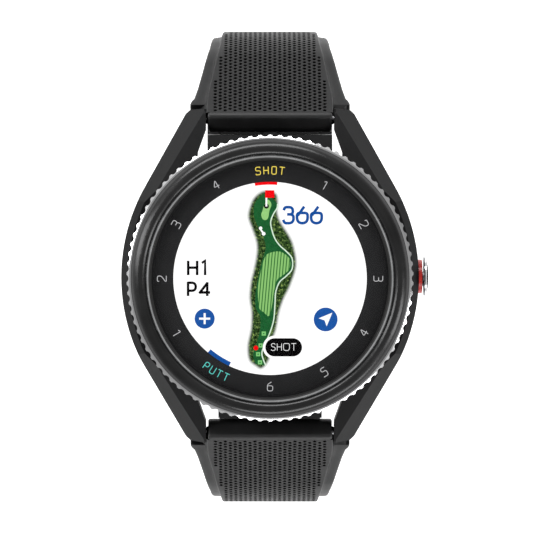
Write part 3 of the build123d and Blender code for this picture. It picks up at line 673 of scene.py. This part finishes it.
def rod(centre, direction, radius, length):
    """A plain closed rod for cutting, about direction."""
    shape = bmesh.new()
    bmesh.ops.create_cone(
        shape, cap_ends=True, segments=40, radius1=radius * MM, radius2=radius * MM, depth=length * MM
    )
    turn = Vector(direction).to_track_quat("Z", "Y").to_matrix().to_4x4()
    bmesh.ops.transform(shape, matrix=Matrix.Translation(Vector(centre) * MM) @ turn, verts=shape.verts)
    return cutter(shape)


def block(low, high, rounding):
    """A closed cutting block between two corners, with its upright edges rounded."""
    shape = bmesh.new()
    bmesh.ops.create_cube(shape, size=1)
    size = [(b - a) * MM for a, b in zip(low, high)]
    centre = [(a + b) / 2 * MM for a, b in zip(low, high)]
    bmesh.ops.scale(shape, vec=size, verts=shape.verts)
    upright = [e for e in shape.edges if abs(e.verts[0].co.z - e.verts[1].co.z) > 0.1 * MM]
    bmesh.ops.bevel(shape, geom=upright, offset=rounding * MM, segments=8, affect="EDGES")
    bmesh.ops.translate(shape, vec=centre, verts=shape.verts)
    return cutter(shape)


# adjustment holes of the long half
HOLE_R, HOLE_PITCH, HOLES = 1.1, 7.0, 6
FOOT_END = FOOT_START + FOOT_R * math.pi / 2
cutters = []
for index in range(HOLES):
    point, normal = strap_point(FOOT_END - index * HOLE_PITCH)
    direction = (0, -normal.x, normal.y)
    cutters.append(rod((0, -point.x, point.y), direction, HOLE_R, 9))
carve(LONG, cutters)

# notch for the tang and bore for the buckle pin in the short half
pin_low, pin_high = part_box("buckle_pin")
PIN_Y, PIN_Z = (pin_low[1] + pin_high[1]) / 2 / MM, (pin_low[2] + pin_high[2]) / 2 / MM
NOTCH, NOTCH_HALF = 6.0, 1.7
carve(SHORT, [
    block((-NOTCH_HALF, PIN_Y - 6, PIN_Z - 6), (NOTCH_HALF, PIN_Y + NOTCH, PIN_Z + 6), 1.5),
    rod((0, PIN_Y, PIN_Z), (1, 0, 0), 0.8, 30),
])


def knuckle(name, side):
    """The strap's end around its spring bar, with the blunt head above it and the lever's slot."""
    half, bore, round_off, sides = 9.95, 0.8, 0.35, 120
    head = BAR + OUT * (KNUCKLE_R - HEAD_R) - FALL * HEAD_RUN
    sunk = DIMPLE_DEPTH + 0.1  # room for the dimples of the skin that covers the outer face

    def outline(inset):
        points = []
        for k in range(sides):
            turn = 2 * math.pi * k / sides
            ahead = Vector((math.cos(turn), math.sin(turn)))
            reach = [(c.dot(ahead) + radius, c, radius) for c, radius in ((BAR, KNUCKLE_R), (head, HEAD_R))]
            _, centre, radius = max(reach, key=lambda item: item[0])
            point = centre + ahead * (radius - inset)
            offset = point - (BAR + OUT * KNUCKLE_R)
            if offset.dot(FALL) > SKIN_START and offset.dot(OUT) > -sunk:
                point -= OUT * (offset.dot(OUT) + sunk)
            points.append(point)
        return points

    stations = []
    for k in range(6):
        turn = math.pi / 2 * k / 5
        stations.append((-half + round_off * (1 - math.cos(turn)), round_off * (1 - math.sin(turn))))
    stations += [(-x, inset) for x, inset in reversed(stations)]
    vertices, faces = [], []
    for x, inset in stations:
        vertices += [(x * MM, side * p.x * MM, p.y * MM) for p in outline(inset)]
    for x in (-half, half):
        for k in range(sides):
            turn = 2 * math.pi * k / sides
            y, z = BAR.x + bore * math.cos(turn), BAR.y + bore * math.sin(turn)
            vertices.append((x * MM, side * y * MM, z * MM))
    last, bore_a, bore_b = ((len(stations) + k) * sides for k in (-1, 0, 1))
    for a, b in [(i * sides, (i + 1) * sides) for i in range(len(stations) - 1)] + [
        (last, bore_b), (bore_b, bore_a), (bore_a, 0)
    ]:
        for k in range(sides):
            n = (k + 1) % sides
            faces.append((a + k, a + n, b + n, b + k))
    obj = piece(name, vertices, faces, KNUCKLE, BODY[side], 35)
    y = side * BAR.x
    left, right, wide, deep = -7.5, -4.9, 0.85, 3.5  # slot of the release lever
    carve(obj, [block((left, y - wide, BAR.y - deep), (right, y + wide, BAR.y), 0.3)])
    return obj


KNUCKLES = [knuckle("strap_short_knuckle", 1), knuckle("strap_long_knuckle", -1)]
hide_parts("strap_short")
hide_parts("strap_long")
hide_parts("strap_short")
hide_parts("strap_long")


def coil_spring(node_name, start, centre, length, pitch, radius, wire, body):
    """A coil about X, in place of the CAD node, which keeps its length."""
    turns, around, per_turn = length / pitch, 10, 28
    count = int(turns * per_turn) + 1
    vertices, faces = [], []
    for i in range(count):
        angle = 2 * math.pi * turns * i / (count - 1)
        out = Vector((0, math.cos(angle), math.sin(angle)))
        middle = Vector((start + length * i / (count - 1), *centre)) + out * radius
        for k in range(around):
            turn = 2 * math.pi * k / around
            point = middle + out * wire * math.cos(turn) + Vector((wire * math.sin(turn), 0, 0))
            vertices.append(tuple(point * MM))
    for i in range(count - 1):
        for k in range(around):
            a, b = i * around + k, i * around + (k + 1) % around
            faces.append((a, b, b + around, a + around))
    faces += [tuple(range(around)), tuple(range((count - 1) * around, count * around))]
    obj = piece(f"{node_name}_coil", vertices, faces, STEEL, body, 40)
    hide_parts(node_name)
    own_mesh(obj)


crown_low, crown_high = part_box("crown_cap")
CROWN_Z = (crown_low[2] + crown_high[2]) / 2 / MM
coil_spring("crown_spring", start=22.77, centre=(0, CROWN_Z), length=2.0, pitch=0.7, radius=1.4, wire=0.15,
            body="case")
for side, end in ((1, "upper"), (-1, "lower")):
    coil_spring(f"{end}_bar_spring", start=-5.65, centre=(side * BAR.x, BAR.y), length=11.6, pitch=1.5,
                radius=0.32, wire=0.1, body=BODY[side])

for name, width in (
    ("mid_case", 0.18), ("back_cover", 0.12), ("crystal_trim_ring", 0.05), ("crown_accent_ring", 0.12),
    ("fixed_keeper", 0.35), ("free_keeper", 0.35), ("buckle_frame", 0.3), ("buckle_tang", 0.25),
    ("coin_edge_ring", 0.06), ("battery", 0.1), ("shield_can", 0.1),
):
    soften(name, width)


# === display picture ====================================================================
def srgb(r, g, b):
    """Linear colour of an 8-bit screen colour."""
    return tuple((v / 255 / 12.92) if v < 10 else ((v / 255 + 0.055) / 1.055) ** 2.4 for v in (r, g, b))


LAYER = 0.004 * MM
SHEET = 0.003 * MM
INK_RED = emitter("ink_red", srgb(250, 8, 18), 1.0, 0.04)
INK_BLUE = emitter("ink_blue", srgb(22, 80, 158), 1.0, 0.05)
INK_ICON = emitter("ink_icon_blue", srgb(30, 86, 165), 1.0, 0.05)
INK_WHITE = emitter("ink_white", (1, 1, 1), 1.1)
INK_BLACK = emitter("ink_black", srgb(6, 5, 6), 1.0, 0.1)
INK_SMOOTH = emitter("map_smooth_green", srgb(30, 94, 48), 1.0, 0.12, 0.5)
INK_PUTT = emitter("map_putting_green", srgb(152, 208, 126), 1.0, 0.06, 0.4)
INK_PATH = emitter("map_path", srgb(222, 245, 222), 1.0, 0.05, 0.8)
INK_TEE = emitter("map_tee", srgb(128, 204, 120), 1.0, 0.05, 0.5)


def striped():
    """Mown stripes, light and dark, slightly tilted."""
    mat = emitter("map_fairway_stripes", srgb(130, 190, 110))
    mapping = node(mat, "ShaderNodeMapping")
    mapping.inputs["Rotation"].default_value = (0, 0, math.radians(5))
    link(mat, coords(mat), mapping.inputs["Vector"])
    bands = node(mat, "ShaderNodeTexWave", Scale=660.0, Distortion=0.1, Detail=1.0, bands_direction="X")
    link(mat, mapping.outputs["Vector"], bands.inputs["Vector"])
    shade = ramp(mat, bands.outputs["Fac"], srgb(52, 112, 52), srgb(142, 200, 116), 0.12, 0.42)
    link(mat, shade, glow_of(mat).inputs["Color"])
    return mat


def speckled():
    """Rough grass and trees: fine dark and light speckles that thin out to nothing at the edge."""
    mat = emitter("map_rough", srgb(60, 85, 45))
    glow = glow_of(mat)
    shade = node(mat, "ShaderNodeValToRGB")
    stops = ((0.4, (6, 16, 6)), (0.49, (34, 62, 24)), (0.57, (80, 112, 58)), (0.66, (176, 196, 104)))
    elements = shade.color_ramp.elements
    while len(elements) < len(stops):
        elements.new(0.5)
    for element, (place, colour) in zip(elements, stops):
        element.position, element.color = place, (*srgb(*colour), 1)
    link(mat, spots(mat, coords(mat), 0.42, 4.0, Roughness=0.85), shade.inputs["Fac"])
    link(mat, shade.outputs["Color"], glow.inputs["Color"])
    clear = node(mat, "ShaderNodeBsdfTransparent")
    cover = node(mat, "ShaderNodeAttribute", attribute_name="cover")
    surface(mat, blend(mat, cover.outputs["Fac"], clear.outputs["BSDF"], glow.outputs["Emission"]))
    return mat


def rounded(points, steps=6, closed=True):
    """Smooth curve through the points."""
    count = len(points)
    result = []
    spans = count if closed else count - 1
    for i in range(spans):
        if closed:
            p = [Vector(points[(i + k) % count]) for k in (-1, 0, 1, 2)]
        else:
            p = [Vector(points[min(max(i + k, 0), count - 1)]) for k in (-1, 0, 1, 2)]
        for k in range(steps):
            t = k / steps
            result.append(
                0.5 * (2 * p[1] + (p[2] - p[0]) * t + (2 * p[0] - 5 * p[1] + 4 * p[2] - p[3]) * t * t
                       + (3 * p[1] - p[0] - 3 * p[2] + p[3]) * t ** 3)
            )
    if not closed:
        result.append(Vector(points[-1]))
    return result


def leaf(name, outline, layer, mat):
    """A thin flat closed slab with the given outline in millimetres, on a layer of the picture."""
    z = DISPLAY_TOP + (layer + 1) * LAYER
    count = len(outline)
    vertices = [(x * MM, y * MM, z - SHEET) for x, y in outline] + [(x * MM, y * MM, z) for x, y in outline]
    faces = [tuple(range(count))[::-1], tuple(range(count, 2 * count))]
    faces += [(i, (i + 1) % count, (i + 1) % count + count, i + count) for i in range(count)]
    return piece(name, vertices, faces, mat, "case")


def circle(x, y, r, sides=40):
    return [(x + r * math.cos(2 * math.pi * k / sides), y + r * math.sin(2 * math.pi * k / sides))
            for k in range(sides)]


def box_outline(x0, y0, x1, y1):
    return [(x0, y0), (x1, y0), (x1, y1), (x0, y1)]


def ribbon(points, width):
    """Outline of a line of even width along a smooth open path."""
    line = rounded(points, 6, closed=False)
    left, right = [], []
    for i, p in enumerate(line):
        ahead = line[min(i + 1, len(line) - 1)] - line[max(i - 1, 0)]
        across = Vector((-ahead.y, ahead.x)).normalized() * width / 2
        left.append(p + across)
        right.append(p - across)
    return [tuple(p) for p in left + right[::-1]]


def arc_band(r0, r1, middle, half_angle, steps=16):
    """Outline of a band between two radii, about a clockwise angle from 12 o'clock."""
    angles = [math.radians(middle - half_angle + 2 * half_angle * k / steps) for k in range(steps + 1)]
    return [(r1 * math.sin(a), r1 * math.cos(a)) for a in angles] + [
        (r0 * math.sin(a), r0 * math.cos(a)) for a in reversed(angles)]


ROUGH = [
    (-1.2, 13.8), (-2.5, 12.8), (-3.2, 11.2), (-3.4, 9.7), (-2.8, 7.9), (-2.1, 5.7), (-2.1, 3.7),
    (-2.6, 1.1), (-3.0, -0.6), (-3.2, -3.1), (-2.9, -5.4), (-3.0, -8.1), (-3.5, -10.7), (-3.3, -12.9),
    (-2.3, -13.9), (-1.3, -14.3), (-0.2, -12.9), (0.2, -10.2), (0.9, -8.1), (1.4, -5.4), (2.1, -3.3),
    (3.2, -1.0), (4.1, 2.0), (3.8, 4.7), (3.1, 6.6), (1.6, 9.0), (1.1, 10.6), (1.2, 12.0), (1.0, 13.3),
    (0.2, 13.8),
]
PATH = [
    (-0.7, -13.9), (-1.3, -12.1), (-0.9, -10.7), (0.0, -8.6), (0.6, -6.5), (0.8, -3.8), (0.9, -2.2),
    (1.5, -0.6), (2.6, 0.4), (3.5, 1.5), (3.5, 3.2), (2.6, 4.3), (1.6, 5.2), (0.8, 6.3), (0.3, 7.7),
    (0.1, 9.0), (0.5, 10.2), (1.1, 11.2), (1.2, 11.9),
]
SMOOTH_LEFT = [
    (-0.2, 13.3), (-1.2, 13.4), (-2.4, 12.0), (-2.6, 10.2), (-2.1, 8.6), (-1.3, 7.2), (-0.7, 5.2),
    (-1.0, 3.7), (-1.6, 1.6), (-2.3, -2.2), (-2.3, -4.6), (-1.6, -6.1), (-1.6, -8.1), (-2.1, -10.2),
    (-2.7, -12.1), (-2.3, -13.7), (-1.4, -14.1),
]
FAIRWAY = [
    (-0.9, 3.2), (-0.2, 4.0), (1.4, 4.3), (2.6, 3.7), (3.2, 2.8), (3.0, 1.4), (1.9, 0.4), (1.1, -0.3),
    (0.6, -2.2), (0.3, -4.4), (-0.2, -6.0), (-1.0, -5.4), (-1.7, -4.8), (-1.9, -3.3), (-1.9, -1.2),
    (-1.5, 1.0),
]
PUTTING = [
    (-0.4, 12.5), (0.0, 12.3), (0.2, 11.7), (-0.1, 10.8), (-0.3, 9.7), (-0.7, 9.3), (-1.2, 9.5),
    (-1.4, 10.2), (-1.2, 10.8), (-1.0, 11.5),
]


def rough_map():
    """The rough with a fading edge, as rings whose cover falls from one to nothing."""
    line = [Vector(p) for p in rounded(ROUGH, 5)]
    count = len(line)
    rings = []
    for spread, cover in ((0.38, 0.0), (0.12, 0.35), (-0.12, 0.85), (-0.3, 1.0)):
        ring = []
        for i, p in enumerate(line):
            ahead = line[(i + 1) % count] - line[i - 1]
            across = Vector((-ahead.y, ahead.x)).normalized()
            ring.append(p - across * spread)
        rings.append((ring, cover))
    z = DISPLAY_TOP + LAYER
    vertices, covers, faces = [], [], []
    for ring, cover in rings:
        vertices += [(p.x * MM, p.y * MM, z) for p in ring]
        covers += [cover] * count
    for k in range(len(rings) - 1):
        for i in range(count):
            j = (i + 1) % count
            faces.append((k * count + i, k * count + j, (k + 1) * count + j, (k + 1) * count + i))
    last = (len(rings) - 1) * count
    faces.append(tuple(range(last, last + count)))
    obj = piece("map_rough", vertices, faces, speckled(), "case")
    mark = obj.data.attributes.new("cover", "FLOAT", "POINT")
    for i, value in enumerate(covers):
        mark.data[i].value = value
    return obj


rough_map()
leaf("map_smooth", rounded(SMOOTH_LEFT[:-1], 5, closed=False) + rounded(PATH, 5, closed=False), 1, INK_SMOOTH)
leaf("map_fairway", rounded(FAIRWAY), 2, striped())
leaf("map_putting_green", rounded(PUTTING), 2, INK_PUTT)
leaf("map_path", ribbon(PATH, 0.19), 3, INK_PATH)
leaf("map_bunker_neck", ribbon([(-1.52, 8.05), (-1.42, 7.7), (-1.2, 7.4), (-1.02, 7.1)], 0.26), 3, INK_WHITE)
leaf("map_bunker_upper", circle(-1.5, 8.0, 0.27), 4, INK_WHITE)
leaf("map_bunker_lower", circle(-1.02, 7.12, 0.29), 4, INK_WHITE)
for index, (x, y) in enumerate(((-1.0, -8.8), (-1.5, -10.7), (-1.9, -12.1), (-1.6, -13.4))):
    leaf(f"map_tee_{index}", box_outline(x - 0.33, y - 0.33, x + 0.33, y + 0.33), 3, INK_TEE)
    leaf(f"map_tee_mark_{index}", box_outline(x - 0.1, y - 0.1, x + 0.1, y + 0.1), 4, INK_SMOOTH)
leaf("map_position", circle(-2.26, -11.1, 0.38), 4, INK_RED)
leaf("flag_hole", circle(-0.58, 11.52, 0.4), 4, INK_BLACK)
leaf("flag_pole", box_outline(-0.72, 11.47, -0.44, 12.92), 5, INK_WHITE)
leaf("flag", box_outline(-0.78, 12.85, 0.68, 14.04), 6, INK_RED)
leaf("marker_red", arc_band(14.93, 15.45, -2.42, 6.75), 1, INK_RED)
leaf("marker_blue", arc_band(14.75, 15.45, 212.5, 7.5), 1, INK_BLUE)


def stadium(x0, x1, y, r, steps=16):
    """Outline of a bar with round ends."""
    ends = [(x1 - r + r * math.sin(math.pi * k / steps), y + r * math.cos(math.pi * k / steps))
            for k in range(steps + 1)]
    return ends + [(x0 + r - r * math.sin(math.pi * k / steps), y - r * math.cos(math.pi * k / steps))
                   for k in range(steps + 1)]


leaf("pill_border", stadium(-1.15, 5.5, -11.0, 1.85), 5, INK_WHITE)
leaf("pill", stadium(-0.75, 5.1, -11.0, 1.45), 6, INK_BLACK)
leaf("plus_disc", circle(-10.42, -6.42, 1.6, 48), 2, INK_ICON)
leaf("plus_across", box_outline(-11.3, -6.58, -9.54, -6.26), 3, INK_WHITE)
leaf("plus_up", box_outline(-10.58, -7.3, -10.26, -5.54), 3, INK_WHITE)
leaf("arrow_disc", circle(8.86, -6.55, 1.9, 48), 2, INK_ICON)
leaf("arrow", [(9.92, -5.47), (9.02, -7.65), (8.69, -6.7), (7.74, -6.37)], 3, INK_WHITE)


# Strokes of each letter on a grid one unit high, with the radius of its corners.
SQUARE = {
    "1": [((0.02, 0.8), (0.3, 1), (0.3, 0))],
    "2": [((0, 0.8), (0, 1), (0.6, 1), (0.6, 0.56), (0, 0.12), (0, 0), (0.62, 0))],
    "3": [((0, 1), (0.6, 1), (0.6, 0.53), (0.18, 0.53)), ((0.18, 0.53), (0.6, 0.53), (0.6, 0), (0, 0))],
    "4": [((0.46, 0), (0.46, 1), (0, 0.3), (0.66, 0.3))],
    "5": [((0.58, 1), (0.05, 1), (0.03, 0.58), (0.6, 0.6), (0.6, 0), (0, 0))],
    "6": [((0.46, 1), (0, 0.72), (0, 0), (0.6, 0), (0.6, 0.58), (0, 0.58), (0, 0.3))],
    "S": [((0.58, 0.84), (0.58, 1), (0, 1), (0, 0.52), (0.6, 0.52), (0.6, 0), (0, 0), (0, 0.16))],
    "H": [((0, 0), (0, 1)), ((0.6, 0), (0.6, 1)), ((0, 0.5), (0.6, 0.5))],
    "O": [((0.3, 1), (0.6, 1), (0.6, 0), (0, 0), (0, 1), (0.3, 1))],
    "T": [((-0.04, 1), (0.64, 1)), ((0.3, 1), (0.3, 0))],
    "P": [((0, 0), (0, 1), (0.56, 1), (0.56, 0.44), (0, 0.44))],
    "U": [((0, 1), (0, 0), (0.6, 0), (0.6, 1))],
}
ROUND = {
    "1": [((0, 0.84), (0.22, 1), (0.22, 0))],
    "3": [((0.03, 0.8), (0.1, 1), (0.6, 1), (0.6, 0.55), (0.24, 0.55)),
          ((0.24, 0.55), (0.64, 0.55), (0.64, 0), (0.08, 0), (0, 0.22))],
    "4": [((0.62, 0), (0.62, 1.04)), ((0.66, 1.02), (0.02, 0.2)), ((0, 0.27), (0.84, 0.27))],
    "6": [((0.45, 1.04), (0.05, 0.48)),
          ((0.33, 0.64), (0.66, 0.64), (0.66, 0), (0, 0), (0, 0.64), (0.33, 0.64))],
    "H": [((0, 0), (0, 1)), ((0.62, 0), (0.62, 1)), ((0, 0.52), (0.62, 0.52))],
    "P": [((0, 0), (0, 1.08)), ((0, 1), (0.58, 1), (0.58, 0.4), (0, 0.4))],
    "S": [((0.54, 0.84), (0.48, 1), (0.02, 1), (0.02, 0.54), (0.56, 0.5), (0.56, 0), (0.06, 0), (0, 0.16))],
    "O": [((0.4, 1), (0.84, 1), (0.84, 0), (0, 0), (0, 1), (0.4, 1))],
    "T": [((0, 1), (0.68, 1)), ((0.34, 1), (0.34, 0))],
}


def filleted(points, radius, steps=7):
    """The path with its corners rounded."""
    points = [Vector(p) for p in points]
    result = [points[0]]
    for before, corner, after in zip(points, points[1:], points[2:]):
        to_before, to_after = before - corner, after - corner
        reach = min(radius, to_before.length * 0.5, to_after.length * 0.5)
        first = corner + to_before.normalized() * reach
        last = corner + to_after.normalized() * reach
        for k in range(steps + 1):
            t = k / steps
            pull = 0.89  # towards the corner, so that the curve is close to a circle
            middle = corner * pull + (first + last) / 2 * (1 - pull)
            result.append(first * (1 - t) ** 2 + middle * 2 * t * (1 - t) + last * t * t)
    result.append(points[-1])
    return result


def stroke(path, width, vertices, faces, place):
    """A flat band of even width along a path, with its edges and ends closed."""
    path = [p for i, p in enumerate(path) if i == 0 or (p - path[i - 1]).length > 1e-5]
    closed = (path[0] - path[-1]).length < 1e-5
    if closed:
        path = path[:-1]
    count, first = len(path), len(vertices)
    for i, p in enumerate(path):
        before = path[i - 1] if closed or i else p
        after = path[(i + 1) % count] if closed or i < count - 1 else p
        into, away = (p - before), (after - p)
        into = into.normalized() if into.length else away.normalized()
        away = away.normalized() if away.length else into
        along = (into + away).normalized()
        across = Vector((-along.y, along.x)) * width / 2 / max(0.6, along.dot(into))
        for q in (p + across, p - across):
            vertices.append(place(q, 0))
            vertices.append(place(q, 1))
    for i in range(count if closed else count - 1):
        a, b = first + 4 * i, first + 4 * ((i + 1) % count)
        faces.extend([
            (a + 1, b + 1, b + 3, a + 3), (a, a + 2, b + 2, b),
            (a, b, b + 1, a + 1), (a + 2, a + 3, b + 3, b + 2),
        ])
    if not closed:
        for a in (first, first + 4 * (count - 1)):
            faces.append((a, a + 1, a + 3, a + 2))


def lettering(name, text, height, place, z, mat, turn=0.0, width=0.12, gap=0.24, style=ROUND, radius=0.33):
    """Flat letters of a given height in millimetres, centred on place."""
    pen, letters = 0.0, []
    for letter in text:
        paths = style[letter]
        right = max(x for path in paths for x, y in path)
        letters.append((pen, paths))
        pen += right + gap
    middle = Vector(((pen - gap) / 2, 0.5))
    spin = Matrix.Rotation(math.radians(turn), 2)
    vertices, faces = [], []

    def put(point, level):
        x, y = spin @ ((point - middle) * height)
        return ((place[0] + x) * MM, (place[1] + y) * MM, z + (level - 1) * SHEET)

    for start, paths in letters:
        for path in paths:
            line = [p + Vector((start, 0)) for p in filleted(path, radius)]
            stroke(line, width, vertices, faces, put)
    return piece(name, vertices, faces, mat, "case")


PICTURE_Z = DISPLAY_TOP + 9 * LAYER
lettering("distance", "366", 2.55, (5.16, 10.08), PICTURE_Z, INK_BLUE, width=0.175, gap=0.22)
lettering("hole_number", "H1", 2.3, (-11.69, 1.67), PICTURE_Z, INK_BLACK, width=0.18, gap=0.33, radius=0.0)
lettering("par_number", "P4", 2.12, (-11.3, -1.75), PICTURE_Z, INK_BLACK, width=0.195, gap=0.24)
lettering("pill_word", "SHOT", 1.12, (2.18, -10.95), PICTURE_Z, INK_WHITE, width=0.07, gap=0.28)

# --- printed ring -----------------------------------------------------------------------
# The ring's print glows, as painted light: printed ink is no lamp.
GLOWING_PRINT_GREY = emitter("print_grey_glowing", srgb(190, 190, 192), 1.0, 0.05)
GLOWING_PRINT_GOLD = emitter("print_gold_glowing", srgb(250, 224, 96), 1.0, 0.05)
GLOWING_PRINT_AQUA = emitter("print_aqua_glowing", srgb(100, 215, 205), 1.0, 0.05)
PRINT_R = 17.23
PRINT_Z = RING_TOP + 0.012 * MM


def ring_word(name, word, angle, height, mat, pitch, width=0.085):
    """Letters set around the ring, read from outside at the top and from inside at the bottom."""
    inward = 100 < angle < 250
    for index, letter in enumerate(word):
        step = (index - (len(word) - 1) / 2) * pitch * (-1 if inward else 1)
        here = angle + step
        a = math.radians(here)
        turn = 180 - here if inward else -here
        lettering(f"{name}_{index}", letter, height, (PRINT_R * math.sin(a), PRINT_R * math.cos(a)),
                  PRINT_Z, mat, turn, width, style=SQUARE, radius=0.2)


for hour, figure in ((1, "1"), (2, "2"), (3, "3"), (4, "4"), (5, "5"), (6, "6"),
                     (8, "1"), (9, "2"), (10, "3"), (11, "4")):
    ring_word(f"figure_{hour}", figure, hour * 30, 1.42, GLOWING_PRINT_GREY, 5)
ring_word("word_top", "SHOT", 0, 1.2, GLOWING_PRINT_GOLD, 4.25, 0.11)
ring_word("word_low", "PUTT", 210, 1.2, GLOWING_PRINT_AQUA, 4.0, 0.1)


# === floor, light and camera ============================================================
def floor():
    half, z = 3.0, FLOOR_Z - 0.0002
    mesh = bpy.data.meshes.new("floor")
    corners = [(x, y, z) for x, y in ((-half, -half), (half, -half), (half, half), (-half, half))]
    mesh.from_pydata(corners, [], [(0, 1, 2, 3)])
    obj = placed("floor", mesh)
    mesh.materials.append(material(
        "floor_white", Base_Color=(0.8, 0.8, 0.8), Roughness=0.9, Specular_IOR_Level=0.1,
        Emission_Color=(1, 1, 1), Emission_Strength=0.85,
    ))


floor()


def softbox(name, place, size, power):
    """A rectangular area light aimed at the origin, sizes in metres."""
    data = bpy.data.lights.new(name, "AREA")
    data.shape = "RECTANGLE"
    data.size, data.size_y = size
    data.energy = power
    obj = placed(name, data)
    obj.location = place
    obj.rotation_euler = (-Vector(place)).to_track_quat("-Z", "Y").to_euler()
    obj.visible_camera = False


softbox("softbox_top", (-0.08, 0.42, 0.30), (0.5, 0.16), 1.3)
softbox("softbox_bottom", (0.12, -0.42, 0.26), (0.5, 0.16), 0.9)
softbox("softbox_left", (-0.42, 0.10, 0.30), (0.16, 0.4), 0.9)
softbox("softbox_right", (0.42, -0.16, 0.30), (0.14, 0.3), 0.6)


def graded(owner, value, from_range, to_range):
    """A value mapped from one range onto another."""
    span = node(owner, "ShaderNodeMapRange")
    for label, number in zip(("From Min", "From Max", "To Min", "To Max"), (*from_range, *to_range)):
        span.inputs[label].default_value = number
    link(owner, value, span.inputs["Value"])
    return span.outputs["Result"]


def studio_world():
    """White room: bright at the horizon, dimmer overhead, with two soft grey sides."""
    world = bpy.data.worlds.new("studio")
    world.use_nodes = True
    back = world.node_tree.nodes["Background"]
    back.inputs["Color"].default_value = (1, 1, 1, 1)
    where = node(world, "ShaderNodeTexCoord").outputs["Generated"]
    split = node(world, "ShaderNodeSeparateXYZ")
    link(world, where, split.inputs["Vector"])
    level = graded(world, split.outputs["Z"], (0.1, 0.95), (0.75, 0.3))
    for direction in ((-0.6, -0.55, 0.58), (0.85, 0.2, 0.5)):
        dot = node(world, "ShaderNodeVectorMath", operation="DOT_PRODUCT")
        dot.inputs[1].default_value = direction
        link(world, where, dot.inputs[0])
        side = graded(world, dot.outputs["Value"], (0.75, 1.0), (1.0, 0.45))
        level = calculate(world, "MULTIPLY", level, side)
    link(world, level, back.inputs["Strength"])
    bpy.context.scene.world = world


studio_world()

CAMERA_DISTANCE, CAMERA_LENS = 0.75, 319.0
PITCH = math.radians(3.1)
BEZEL_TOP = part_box("bezel_top")[1][2]
AIM = Vector((-0.565 * MM, 2.01 * MM, BEZEL_TOP))
camera_data = bpy.data.cameras.new("camera")
camera_data.lens = CAMERA_LENS
camera_data.clip_start = 0.05
camera = placed("camera", camera_data)
camera.location = AIM + Vector((0, math.sin(PITCH), math.cos(PITCH))) * CAMERA_DISTANCE
camera.rotation_euler = (-PITCH, 0, 0)
bpy.context.scene.camera = camera
bpy.context.scene.view_settings.view_transform = "Standard"
